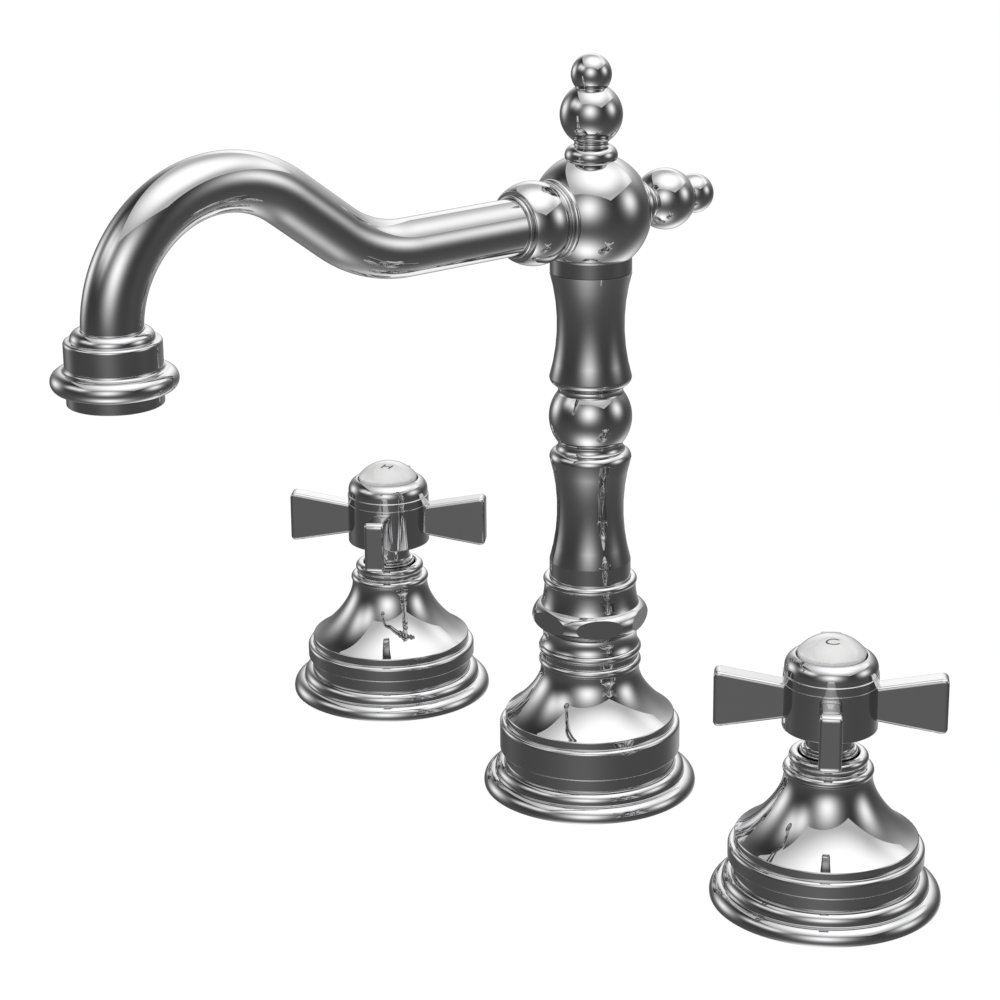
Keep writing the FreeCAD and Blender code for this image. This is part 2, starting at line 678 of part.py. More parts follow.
def lower_sleeve():
    """The lower column sleeve: a foot band in the union's cup, a waist and a rounded lip."""
    bore, band_top = RISER_R + SEAT, SLEEVE_FOOT + FOOT_BAND
    sleeve = Outline(bore, SLEEVE_FOOT).line(SLEEVE_R, SLEEVE_FOOT).line(SLEEVE_R, band_top)
    sleeve.through(WAIST_R, band_top + LOWER_WAIST / 2, SLEEVE_R, LOWER_LIP_Z)
    sleeve.arc(SLEEVE_R - SLEEVE_ROUND, LOWER_LIP_Z, SLEEVE_ROUND, 0, 90)
    return sleeve.line(bore, BALL_FOOT).turn()


def column_ball():
    """The ball between the sleeves; a hollow neck at each end runs on into the sleeve's lip."""
    middle, cove_r = (BALL_FOOT + BALL_TOP) / 2, BALL_NECK_R + BALL_COVE
    neck = math.sqrt((BALL_R + BALL_COVE) ** 2 - cove_r ** 2)
    meet = math.degrees(math.atan2(neck, cove_r))
    rise = middle - neck - BALL_FOOT
    flare = cove_radius(BALL_NECK_R - SLEEVE_R + SLEEVE_ROUND, rise + SLEEVE_ROUND, SLEEVE_ROUND)
    edge = math.degrees(math.asin(rise / flare))
    ball = Outline(RISER_R + SEAT, BALL_FOOT)
    ball.arc(BALL_NECK_R + flare, middle - neck, flare, FULL / 2 + edge, FULL / 2)
    ball.arc(cove_r, middle - neck, BALL_COVE, FULL / 2, FULL / 2 - meet)
    ball.arc(0, middle, BALL_R, -meet, meet)
    ball.arc(cove_r, middle + neck, BALL_COVE, FULL / 2 + meet, FULL / 2)
    ball.arc(BALL_NECK_R + flare, middle + neck, flare, FULL / 2, FULL / 2 - edge)
    return ball.line(RISER_R + SEAT, BALL_TOP).turn()


def upper_sleeve():
    """The upper column sleeve: a rounded lip, a waist, a flare and a recess for the swivel's washer."""
    sleeve = Outline(RISER_R + SEAT, BALL_TOP)
    sleeve.arc(SLEEVE_R - SLEEVE_ROUND, UPPER_LIP_Z, SLEEVE_ROUND, -90, 0)
    sleeve.through(WAIST_R, UPPER_LIP_Z + UPPER_WAIST / 2, SLEEVE_R, SLEEVE_TOP)
    recess = SLEEVE_R - WASHER_RIM
    sleeve.line(recess, SLEEVE_TOP).line(recess, WASHER_FOOT)
    return sleeve.line(RISER_R + SEAT, WASHER_FOOT).turn()


def swivel_washer():
    """The slippery washer that the spout turns on."""
    outer_r = SLEEVE_R - WASHER_RIM - SEAT
    return ring(RISER_R + SEAT, outer_r, WASHER_FOOT, WASHER_FOOT + SWIVEL_WASHER)


def swivel_rings():
    """The two sealing rings in the spigot's grooves."""
    return Part.makeCompound([o_ring(RISER_R, RING_DEPTH, SLEEVE_TOP + rise) for rise in RING_RISES])


def hub_ball():
    """The outside of the spout's hub."""
    return Part.makeSphere(HUB_R, Vector(0, 0, HUB_Z))


def grub_hole():
    """The tapped hole for the grub screw, through the back of the swivel."""
    return rod(GRUB_R, (0, 0, GRUB_Z), (0, 1, 0), FAR)


def hub():
    """The hollow ball on the swivel, with ports for the spout and for two finials."""
    centre = (0, 0, HUB_Z)
    body = hub_ball().fuse(disc(HUB_NECK_R, SWIVEL_FOOT, HUB_Z))
    cuts = [
        disc(RISER_R + RUN, 0, SPIGOT_TOP + FREE),
        disc(RISER_BORE_R, SPIGOT_TOP, HUB_Z),
        Part.makeSphere(RISER_BORE_R, Vector(*centre)),
        rod(HUB_PORT_R, centre, (0, -1, 0), HUB_R),
        rod(COUPLING_SPIGOT_R + SEAT, (0, -COUPLING_SEAT_AT, HUB_Z), (0, -1, 0), HUB_R),
        grub_hole(),
    ]
    hole_at = HUB_R - STEM_DEEP
    for y, z in ((0, 1), (1, 0)):
        cuts.append(rod(STEM_R + SEAT, (0, y * hole_at, HUB_Z + z * hole_at), (0, y, z), HUB_R))
    return body.cut(cuts)


def swivel_collar():
    """The plain band under the hub's ball, round its neck."""
    return ring(HUB_NECK_R + SEAT, COLLAR_R, SWIVEL_FOOT, HUB_Z).cut(hub_ball()).cut(grub_hole())


def grub_screw():
    """The dog-point screw that keeps the hub on the spigot and stops its swing."""
    start, end = RISER_R + FREE, COLLAR_R - FREE
    tip = RISER_R - STOP_DEPTH + FREE
    screw = disc(GRUB_R, start, end).fuse(disc(GRUB_TIP_R, tip, start))
    screw = screw.cut(prism(6, GRUB_SOCKET, end - GRUB_SOCKET_DEEP, end))
    screw.rotate(Vector(), Vector(1, 0, 0), -90)
    screw.translate(Vector(0, 0, GRUB_Z))
    return screw


def finial():
    """A screwed ornament: a thick ring on the hub, a short neck, a ball and a smaller ball."""
    ring_r = FINIAL_RING_R - FINIAL_RING_ROUND
    ring_top = FINIAL_RING_AT + math.sqrt(FINIAL_RING_ROUND ** 2 - (FINIAL_NECK_R - ring_r) ** 2)
    ball_foot = FINIAL_BALL_AT - math.sqrt(FINIAL_BALL_R ** 2 - FINIAL_NECK_R ** 2)
    neck_z = (ring_top + ball_foot) / 2
    knob = Outline(0, 0).line(ring_r, 0)
    knob.bead_and_cove(FINIAL_RING_R, FINIAL_RING_AT, FINIAL_RING_ROUND, ring_r, FINIAL_NECK_R, neck_z)
    cove = cove_radius(FINIAL_NECK_R, FINIAL_BALL_AT - neck_z, FINIAL_BALL_R)
    meet = math.degrees(math.atan2(FINIAL_BALL_AT - neck_z, FINIAL_NECK_R + cove))
    knob.arc(FINIAL_NECK_R + cove, neck_z, cove, FULL / 2, FULL / 2 - meet)
    apart = TIP_BALL_AT - FINIAL_BALL_AT
    waist = (apart ** 2 + FINIAL_BALL_R ** 2 - TIP_BALL_R ** 2) / (2 * apart)
    knob.arc(0, FINIAL_BALL_AT, FINIAL_BALL_R, -meet, math.degrees(math.asin(waist / FINIAL_BALL_R)))
    knob.bead(TIP_BALL_R, TIP_BALL_AT, TIP_BALL_R, knob.at[0], 0)
    solid = knob.turn().cut(Part.makeSphere(HUB_R))
    return solid.fuse(disc(STEM_R, HUB_R - STEM_DEEP, FINIAL_BALL_AT)).removeSplitter()


def coupling():
    """The ball union that carries the spout tube: beads on the hub, a ball and beads on the tube."""
    body = Outline(HUB_PORT_R, COUPLING_SEAT_AT).line(HUB_BEAD_GROOVE_R, COUPLING_SEAT_AT)
    for bead_r, bead_round, sunk in HUB_BEADS:
        body.bead(bead_r, HUB_R - sunk, bead_round, HUB_BEAD_GROOVE_R, HUB_BEAD_GROOVE_R)
    body.line(HUB_BEAD_GROOVE_R, COUPLING_BALL_AT - COUPLING_BACK)
    first = -math.degrees(math.asin(COUPLING_BACK / COUPLING_BALL_R))
    last = math.degrees(math.asin(COUPLING_FACE / COUPLING_BALL_R))
    body.arc(0, COUPLING_BALL_AT, COUPLING_BALL_R, first, last)
    bead_z = COUPLING_BALL_AT + COUPLING_FACE + TUBE_BEAD_ROUND
    for k in range(TUBE_BEADS):
        body.bead(TUBE_BEAD_R, bead_z + 2 * k * TUBE_BEAD_ROUND, TUBE_BEAD_ROUND,
                  TUBE_BEAD_GROOVE_R, TUBE_BEAD_GROOVE_R)
    socket = TUBE_R + SEAT
    body.line(socket, body.at[1]).line(socket, TUBE_FROM).line(HUB_PORT_R, TUBE_FROM)
    spigot = ring(HUB_PORT_R, COUPLING_SPIGOT_R, COUPLING_SEAT_AT + COUPLING_SEAL, HUB_R)
    return body.turn().cut(Part.makeSphere(HUB_R)).fuse(spigot).removeSplitter()


def coupling_seal():
    """The sealing ring between the spout's union and the floor of the hub's port."""
    return o_ring(COUPLING_SPIGOT_R, COUPLING_SEAL, COUPLING_SEAT_AT + COUPLING_SEAL / 2)


def spout_bends():
    """Where the spout's bends begin and end, as (distance forward, height above the hub)."""
    rise = math.radians(RISE_ANGLE)
    bend_end = RISE_FROM + RISE_BEND_R * math.sin(rise), RISE_BEND_R * (1 - math.cos(rise))
    run = SPOUT_REACH - bend_end[0] - CREST_BEND_R * (1 + math.sin(rise))
    climb_end = bend_end[0] + run, bend_end[1] + run * math.tan(rise)
    return bend_end, climb_end, climb_end[1] - CREST_BEND_R * math.cos(rise)


def tube_end():
    """The height of the spout tube's lower end."""
    return HUB_Z + spout_bends()[2] - TUBE_DROP


def spout_path():
    """The spout's centre line: level, up through a bend, over the crest and straight down."""
    bend_end, climb_end, crest_z = spout_bends()
    crest_y = SPOUT_REACH - CREST_BEND_R

    def at(y, z):
        return Vector(0, -y, HUB_Z + z)

    bend_mid = on_circle(RISE_FROM, RISE_BEND_R, RISE_BEND_R, RISE_ANGLE / 2 - 90)
    crest_mid = on_circle(crest_y, crest_z, CREST_BEND_R, (RISE_ANGLE + 90) / 2)
    drop = at(SPOUT_REACH, crest_z)
    return Part.Wire([
        Part.LineSegment(at(TUBE_FROM, 0), at(RISE_FROM, 0)).toShape(),
        Part.Arc(at(RISE_FROM, 0), at(*bend_mid), at(*bend_end)).toShape(),
        Part.LineSegment(at(*bend_end), at(*climb_end)).toShape(),
        Part.Arc(at(*climb_end), at(*crest_mid), drop).toShape(),
        Part.LineSegment(drop, Vector(0, -SPOUT_REACH, tube_end())).toShape(),
    ])


def spout_tube():
    """The bent brass tube of the spout."""
    start = Vector(0, -TUBE_FROM, HUB_Z)
    return swept_tube(spout_path(), start, Vector(0, -1, 0), TUBE_R, TUBE_BORE_R)


def at_outlet(solid):
    """Moves a piece that was made about Z, with the tube ending at 0, to the outlet."""
    solid.translate(Vector(0, -SPOUT_REACH, tube_end()))
    return solid


def outlet_collar():
    """The collar on the tube's end, with a round shoulder on top and the aerator's thread below."""
    socket, shoulder_z = TUBE_R + SEAT, COLLAR_SOCKET + SHOULDER_RISE
    thread_foot = -COLLAR_BELOW - AERATOR_THREAD
    collar = Outline(TUBE_BORE_R, thread_foot).line(AERATOR_THREAD_R, thread_foot)
    collar.line(AERATOR_THREAD_R, -COLLAR_BELOW).line(OUTLET_R, -COLLAR_BELOW)
    collar.arc(OUTLET_R - OUTLET_EDGE, COLLAR_SOCKET - OUTLET_EDGE, OUTLET_EDGE, 0, 90)
    collar.line(SHOULDER_R, COLLAR_SOCKET)
    collar.arc(SHOULDER_R - SHOULDER_ROUND, shoulder_z, SHOULDER_ROUND, 0, 90)
    return collar.line(socket, collar.at[1]).line(socket, 0).line(TUBE_BORE_R, 0).turn()


def aerator_housing():
    """The screwed outlet ring: a big bead, a short skirt and a lip under the insert."""
    top, foot = -COLLAR_BELOW, -COLLAR_BELOW - AERATOR_TALL
    bore = AERATOR_THREAD_R + SEAT
    housing = Outline(AERATOR_MOUTH_R, foot).line(AERATOR_R, foot)
    bead_z = top - AERATOR_BEAD_DROP
    housing.bead_and_cove(AERATOR_BEAD_R, bead_z, AERATOR_BEAD_ROUND, AERATOR_R, OUTLET_R, top)
    housing.line(bore, top).line(bore, foot + AERATOR_LIP)
    return housing.line(AERATOR_MOUTH_R, foot + AERATOR_LIP).turn()


def insert_foot():
    """The height of the flow former's foot, on the housing's lip."""
    return -COLLAR_BELOW - AERATOR_TALL + AERATOR_LIP


def aerator_insert():
    """The plastic flow former, with rings of holes."""
    foot = insert_foot()
    holes = []
    for ring_number in range(3):
        count = max(1, 6 * ring_number)
        for k in range(count):
            hole_at = on_circle(0, 0, INSERT_PITCH * ring_number, FULL * k / count)
            holes.append(rod(INSERT_HOLE_R, (*hole_at, foot), (0, 0, 1), INSERT_TALL))
    return disc(AERATOR_THREAD_R, foot, foot + INSERT_TALL).cut(holes)


def aerator_gasket():
    """The rubber ring between the insert and the collar."""
    foot = insert_foot() + INSERT_TALL
    return ring(AERATOR_GASKET_R, AERATOR_THREAD_R, foot, -COLLAR_BELOW - AERATOR_THREAD)


def aerator_filter():
    """The steel mesh disc on the insert, inside the gasket."""
    foot = insert_foot() + INSERT_TALL
    return disc(AERATOR_GASKET_R - SEAT, foot, foot + FILTER_THICK)


def valve_body(inward):
    """A valve's brass body: chamber, two galleries, a threaded shank, a nipple and an inlet."""
    edge = Outline(0, BODY_FOOT).line(SHANK_R, BODY_FOOT).line(SHANK_R, BLOCK_FOOT)
    edge.line(BLOCK_R, BLOCK_FOOT).line(BLOCK_R, BLOCK_TOP).line(SHANK_R, BLOCK_TOP)
    edge.thread(SHANK_R, 0).line(SHANK_R, BODY_TOP).line(CHAMBER_R, BODY_TOP)
    body = edge.line(CHAMBER_R, BODY_SEAT).line(0, BODY_SEAT).turn()
    body = body.fuse(rod(NIPPLE_R, (0, 0, NIPPLE_Z), (inward, 0, 0), NIPPLE_REACH))
    elbow, inlet_foot = (inward * PORT_AT, 0, NIPPLE_Z), BODY_FOOT + INLET_SEAT / 2
    return body.cut([
        disc(INLET_SEAT_R, BODY_FOOT, BODY_FOOT + INLET_SEAT),
        rod(INLET_R, (-inward * PORT_AT, 0, inlet_foot), (0, 0, 1), BODY_SEAT - inlet_foot),
        rod(OUTLET_GALLERY_R, elbow, (inward, 0, 0), NIPPLE_REACH),
        rod(OUTLET_GALLERY_R, elbow, (0, 0, 1), BODY_SEAT - NIPPLE_Z),
        Part.makeSphere(OUTLET_GALLERY_R, Vector(*elbow)),
        pipe_socket(0, inward),
    ])


def ported_disc(radius, low, high):
    """A disc with the two water ports, over the valve body's galleries."""
    ports = [rod(PORT_R, (side * PORT_AT, 0, low), (0, 0, 1), high - low) for side in (-1, 1)]
    return disc(radius, low, high).cut(ports)


def turning_disc():
    """The ceramic disc that turns: its pocket lies across the ports when shut."""
    length = 2 * (PORT_AT + PORT_R)
    corner = Vector(-POCKET_WIDTH / 2, -length / 2, TURNING_FLOOR)
    pocket = Part.makeBox(POCKET_WIDTH, length, POCKET_DEEP, corner)
    return disc(DISC_R, TURNING_FLOOR, DRIVE_FOOT).cut(pocket)


def headwork(opens):
    """The brass headwork: a cup for the discs with a stop in it, a flange and a bonnet."""
    cup, bore = CHAMBER_R - SEAT, SPINDLE_R + RUN
    bonnet_top = HEAD_TOP + BONNET
    shell = Outline(DISC_CAVITY_R, DISC_FLOOR).line(cup, DISC_FLOOR).line(cup, BODY_TOP)
    shell.line(HEAD_FLANGE_R, BODY_TOP).line(HEAD_FLANGE_R, HEAD_TOP).line(BONNET_R, HEAD_TOP)
    shell.line(BONNET_R, bonnet_top).line(bore, bonnet_top).line(bore, DISC_CAVITY_TOP)
    shell = shell.line(DISC_CAVITY_R, DISC_CAVITY_TOP).turn()
    reach = LUG_WIDTH / 2 + STOP_GAP
    first, last = QUARTER_TURN + reach, FULL - reach
    if opens < 0:
        first, last = -last, -first
    stop = sector(STOP_R, cup, DRIVE_FOOT + PLAY, DISC_CAVITY_TOP, first, last)
    return shell.fuse(stop).removeSplitter()


def spindle():
    """The turning spindle: a drive plate with a stop lug, a shaft and a square for the handle."""
    top = DRIVE_FOOT + DRIVE_THICK
    shaft = disc(DRIVE_R, DRIVE_FOOT, top).fuse(disc(SPINDLE_R, DRIVE_FOOT, SPINDLE_SHOULDER))
    half = LUG_WIDTH / 2
    shaft = shaft.fuse(sector(DRIVE_R - FREE, LUG_R, DRIVE_FOOT + FREE, top, -half, half))
    square_foot = SPINDLE_SHOULDER - FREE
    square = prism(4, SQUARE, square_foot, SPINDLE_TOP).common(disc(SPINDLE_R, square_foot, SPINDLE_TOP))
    shaft = shaft.fuse(square).removeSplitter()
    groove = HEAD_TOP + SPINDLE_RING_RISE - SPINDLE_RING_WIDTH / 2
    shaft = shaft.cut(ring(SPINDLE_R - SPINDLE_RING_DEPTH, SPINDLE_R, groove, groove + SPINDLE_RING_WIDTH))
    return shaft.cut(disc(SCREW_R, WEB_TOP - SCREW_GRIP, SPINDLE_TOP))


def spindle_ring():
    """The sealing ring in the spindle's groove."""
    return o_ring(SPINDLE_R, SPINDLE_RING_DEPTH, HEAD_TOP + SPINDLE_RING_RISE)


def handle_arm():
    """One paddle of the cross handle along +X, taller at its tip than at the drum."""
    start, height = HANDLE_R - ARM_SUNK, HANDLE_FOOT + ARM_RISE
    slope = (ARM_TIP_HALF - ARM_ROOT_HALF) / (ARM_TIP - HANDLE_R)
    root = ARM_ROOT_HALF - slope * ARM_SUNK
    corners = [(start, -root), (ARM_TIP, -ARM_TIP_HALF), (ARM_TIP, ARM_TIP_HALF), (start, root)]
    points = [Vector(x, -ARM_THICK / 2, height + z) for x, z in corners + corners[:1]]
    arm = Part.Face(Part.makePolygon(points)).extrude(Vector(0, ARM_THICK, 0))
    tips = [e for e in arm.Edges if e.BoundBox.XMin > ARM_TIP - SEAT and e.BoundBox.ZLength < SEAT]
    arm = arm.makeFillet(ARM_CORNER, tips)
    sides = [e for e in arm.Edges if e.BoundBox.YLength < SEAT and e.BoundBox.XMax > start + SEAT]
    return arm.makeFillet(ARM_EDGE, sides)


def handle():
    """A cross handle: a drum with four paddles, and a stem that flares to beads in the bell's mouth."""
    drum = Outline(0, STEM_FOOT)
    for bead_r, bead_round in STEM_BEADS:
        root = bead_r - bead_round
        drum.bead(bead_r, drum.at[1] + bead_round, bead_round, root, root)
    cove = root - HANDLE_STEM_R
    drum.arc(root, drum.at[1] + cove, cove, -90, -180).line(HANDLE_STEM_R, HANDLE_FOOT)
    drum.arc(HANDLE_R - HANDLE_EDGE, HANDLE_FOOT + HANDLE_EDGE, HANDLE_EDGE, -90, 0)
    drum.line(HANDLE_R, HANDLE_TOP).line(CAP_THREAD_R, HANDLE_TOP).line(CAP_THREAD_R, CAP_THREAD_TOP)
    arms = []
    for k in range(4):
        arms.append(handle_arm())
        arms[k].rotate(Vector(), UP, ARM_TURN + 90 * k)
    body = drum.line(0, CAP_THREAD_TOP).turn().fuse(arms)
    return body.cut([
        prism(4, SQUARE + 2 * SEAT, STEM_FOOT, SPINDLE_TOP),
        disc(SPINDLE_R + SEAT, STEM_FOOT, SPINDLE_SHOULDER),
        disc(SCREW_R + SEAT, STEM_FOOT, WEB_TOP),
        disc(SCREW_WELL_R, WEB_TOP, CAP_THREAD_TOP),
    ])


def handle_screw():
    """The socket screw that holds a handle on its spindle."""
    head_top = WEB_TOP + SCREW_HEAD
    screw = disc(SCREW_R, WEB_TOP - SCREW_GRIP, WEB_TOP).fuse(disc(SCREW_HEAD_R, WEB_TOP, head_top))
    return screw.cut(prism(6, SCREW_SOCKET, head_top - SCREW_SOCKET_DEEP, head_top)).removeSplitter()


def index_cap():
    """The domed ring on top of a handle, open for the porcelain button."""
    opening, thread = INDEX_R + INDEX_GAP, CAP_THREAD_R + SEAT
    dome_r, band_top = HANDLE_R - CAP_STEP, HANDLE_TOP + CAP_BAND
    centre, dome_z, lip_r = dome_r - CAP_ROUND, band_top + CAP_ROUND_RISE, opening + CAP_LIP
    lip_rise = math.sqrt((CAP_ROUND - CAP_LIP) ** 2 - (lip_r - centre) ** 2)
    meet = math.degrees(math.atan2(lip_rise, lip_r - centre))
    cap = Outline(thread, HANDLE_TOP).line(HANDLE_R, HANDLE_TOP).line(HANDLE_R, band_top)
    cap.line(dome_r, band_top).arc(centre, dome_z, CAP_ROUND, 0, meet)
    cap.arc(lip_r, dome_z + lip_rise, CAP_LIP, meet, FULL / 2)
    return cap.line(opening, INDEX_LEDGE).line(thread, INDEX_LEDGE).turn()


def index_button():
    """The porcelain button, domed, with a flange under the cap's ledge."""
    dome_r = (INDEX_R ** 2 + INDEX_DOME ** 2) / (2 * INDEX_DOME)
    shoulder = INDEX_LEDGE + INDEX_WALL
    centre = shoulder + INDEX_DOME - dome_r
    first = math.degrees(math.asin((shoulder - centre) / dome_r))
    button = Outline(0, CAP_THREAD_TOP).line(INDEX_FLANGE_R, CAP_THREAD_TOP)
    button.line(INDEX_FLANGE_R, INDEX_LEDGE).line(INDEX_R, INDEX_LEDGE)
    return button.arc(0, centre, dome_r, first, 90).turn()


def column_pieces():
    """The pieces of the spout's stand and column, which stay still, by name."""
    return {
        "spout_flange": flange(),
        "spout_bell": spout_bell(),
        "spout_shank": spout_shank(),
        "spout_inlet_tee": inlet_tee(),
        "union_nut": union_nut(),
        "riser_seal": riser_seal(),
        "column_riser": riser(),
        "column_lower_sleeve": lower_sleeve(),
        "column_ball": column_ball(),
        "column_upper_sleeve": upper_sleeve(),
        "swivel_washer": swivel_washer(),
        "swivel_rings": swivel_rings(),
    }


def shared_pieces():
    """The fixings that are alike on the three deck units, and the pipes that link them, by name."""
    return {
        "deck_gaskets": at_each(deck_gasket(), UNITS),
        "clamp_washers": at_each(clamp_washer(), UNITS),
        "mounting_nuts": at_each(hexagon_nut(NUT_FLATS, NUT_FOOT, NUT_TOP), UNITS),
        "lock_nuts": at_each(hexagon_nut(LOCK_NUT_FLATS, BELL_SEAT, BELL_SEAT + LOCK_NUT), VALVES),
        "hot_link_pipe": link_pipe(-1),
        "cold_link_pipe": link_pipe(1),
        "link_nuts": link_nuts(),
    }


def spout_pieces():
    """The pieces of the spout that swing together, by name."""
    upright = finial()
    upright.translate(Vector(0, 0, HUB_Z))
    return {
        "spout_hub": hub(),
        "swivel_collar": swivel_collar(),
        "swivel_grub_screw": grub_screw(),
        "top_finial": upright,
        "rear_finial": lay_along_y(finial(), -90),
        "spout_union": lay_along_y(coupling(), 90),
        "spout_union_seal": lay_along_y(coupling_seal(), 90),
        "spout_tube": spout_tube(),
        "outlet_collar": at_outlet(outlet_collar()),
        "aerator_housing": at_outlet(aerator_housing()),
        "aerator_insert": at_outlet(aerator_insert()),
        "aerator_gasket": at_outlet(aerator_gasket()),
        "aerator_filter": at_outlet(aerator_filter()),
    }


def valve_pieces(side):
    """Every piece of one valve about its own axis: side is -1 for hot and 1 for cold."""
    return {
        "flange": flange(),
        "bell": valve_bell(),
        "valve_body": valve_body(-side),
        "seat_seal": ported_disc(CHAMBER_R - SEAT, BODY_SEAT, DISC_FLOOR),
        "headwork": headwork(-side),
        "fixed_disc": ported_disc(DISC_CAVITY_R - SEAT, DISC_FLOOR, DISC_FLOOR + DISC_THICK),
        "turning_disc": turning_disc(),
        "spindle": spindle(),
        "spindle_ring": spindle_ring(),
        "handle": handle(),
        "handle_screw": handle_screw(),
        "index_cap": index_cap(),
        "index_button": index_button(),
    }


def save(name, solid):
    """Writes one piece to its own file."""
    solid.exportStep("parts/" + name + ".step")
    print(name, len(solid.Solids), "solid", round(solid.Volume, 1), "mm3", solid.isValid())


def main():
    """Builds every piece and writes each to its own file."""
    os.makedirs("parts", exist_ok=True)
    for name, solid in {**column_pieces(), **shared_pieces(), **spout_pieces()}.items():
        save(name, solid)
    for side, label, x in ((-1, "hot", HOT_X), (1, "cold", COLD_X)):
        for name, solid in valve_pieces(side).items():
            solid.translate(Vector(x, 0, 0))
            save(label + "_" + name, solid)


main()
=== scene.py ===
"""The looks of a widespread bathroom mixer faucet in polished chrome with porcelain buttons.

Sizes are in millimetres and are turned to metres where a vertex is made. Heights, axes and outer
radii come from the frame's nodes; the fields of each class hold the finer sizes of its piece.
"""
import json
import logging
import math
from dataclasses import dataclass
from enum import Enum

import bmesh
import bpy
from mathutils import Matrix, Vector
from mathutils.geometry import interpolate_bezier


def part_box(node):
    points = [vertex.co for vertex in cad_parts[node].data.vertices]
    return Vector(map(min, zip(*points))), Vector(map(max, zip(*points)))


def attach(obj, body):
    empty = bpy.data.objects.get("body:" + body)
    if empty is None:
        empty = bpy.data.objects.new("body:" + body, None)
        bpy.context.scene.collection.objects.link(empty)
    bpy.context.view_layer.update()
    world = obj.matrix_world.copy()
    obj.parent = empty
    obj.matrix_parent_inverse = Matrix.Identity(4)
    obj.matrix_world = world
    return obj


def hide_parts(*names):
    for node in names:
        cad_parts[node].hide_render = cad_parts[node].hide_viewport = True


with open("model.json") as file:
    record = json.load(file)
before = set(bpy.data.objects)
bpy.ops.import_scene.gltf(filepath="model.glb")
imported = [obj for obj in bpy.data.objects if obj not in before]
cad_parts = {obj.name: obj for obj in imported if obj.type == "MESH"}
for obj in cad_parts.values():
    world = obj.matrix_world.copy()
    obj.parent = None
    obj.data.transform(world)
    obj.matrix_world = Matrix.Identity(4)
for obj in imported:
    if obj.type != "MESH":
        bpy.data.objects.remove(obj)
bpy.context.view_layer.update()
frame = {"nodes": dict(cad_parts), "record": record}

LOG = logging.getLogger("faucet")

MM = 0.001
FULL = 360.0
TINY = 1e-4                # lengths under this are nothing, in millimetres
ROUND_STEPS = 144          # facets round a turned piece
ARC_STEP = 5.0             # degrees of an outline's arc that one edge takes
ARC_LEAST = 4              # edges that an arc has at least
CURVE_POINTS = 28          # points along an outline's free curve
SUPPORT = 0.3              # distance from the end of a straight stretch to its support point
CORNER = 0.15              # the softening of a turned corner
CORNER_STEPS = 3
CORNER_TURN = 25.0         # an outline that turns by more than this has a corner, degrees
SHARP = 40.0               # faces that meet at more than this don't shade into each other, degrees
SEAT = 0.05                # clearance between pieces that are screwed or pushed together
PATTERN_DETAIL = 3.0       # layers of finer features in a finish's pattern
PATTERN_SPAN = (0.3, 0.7)  # values of the pattern between which the roughness changes
GLAZE_ROUGHNESS = 0.04     # of a clear layer


def linear(shade: str) -> tuple[float, float, float, float]:
    """The linear colour of an sRGB hex value.

    Args:
        shade: a colour such as "#C8C9CA".

    Returns:
        Red, green, blue and an alpha of 1.
    """
    parts = [int(shade[i:i + 2], 16) / 255 for i in (1, 3, 5)]
    return (*[p / 12.92 if p <= 0.04045 else ((p + 0.055) / 1.055) ** 2.4 for p in parts], 1.0)


def add_node(tree: bpy.types.NodeTree, kind: str, settings: dict) -> bpy.types.Node:
    """Adds a node with its settings and links.

    Args:
        tree: the node tree that takes the node.
        kind: the node's type.
        settings: input sockets, by name or number, and properties, by name. A value that is an
            output socket is linked.

    Returns:
        The new node.
    """
    node = tree.nodes.new(kind)
    for key, value in settings.items():
        if isinstance(key, str) and key not in node.inputs:
            setattr(node, key, value)
        elif isinstance(value, bpy.types.NodeSocket):
            tree.links.new(value, node.inputs[key])
        else:
            node.inputs[key].default_value = value
    return node


def blank_material(name: str) -> bpy.types.Material:
    """A new material with an empty node tree.

    Args:
        name: the material's name.

    Returns:
        The material.
    """
    made = bpy.data.materials.new(name)
    made.use_nodes = True
    made.node_tree.nodes.clear()
    return made


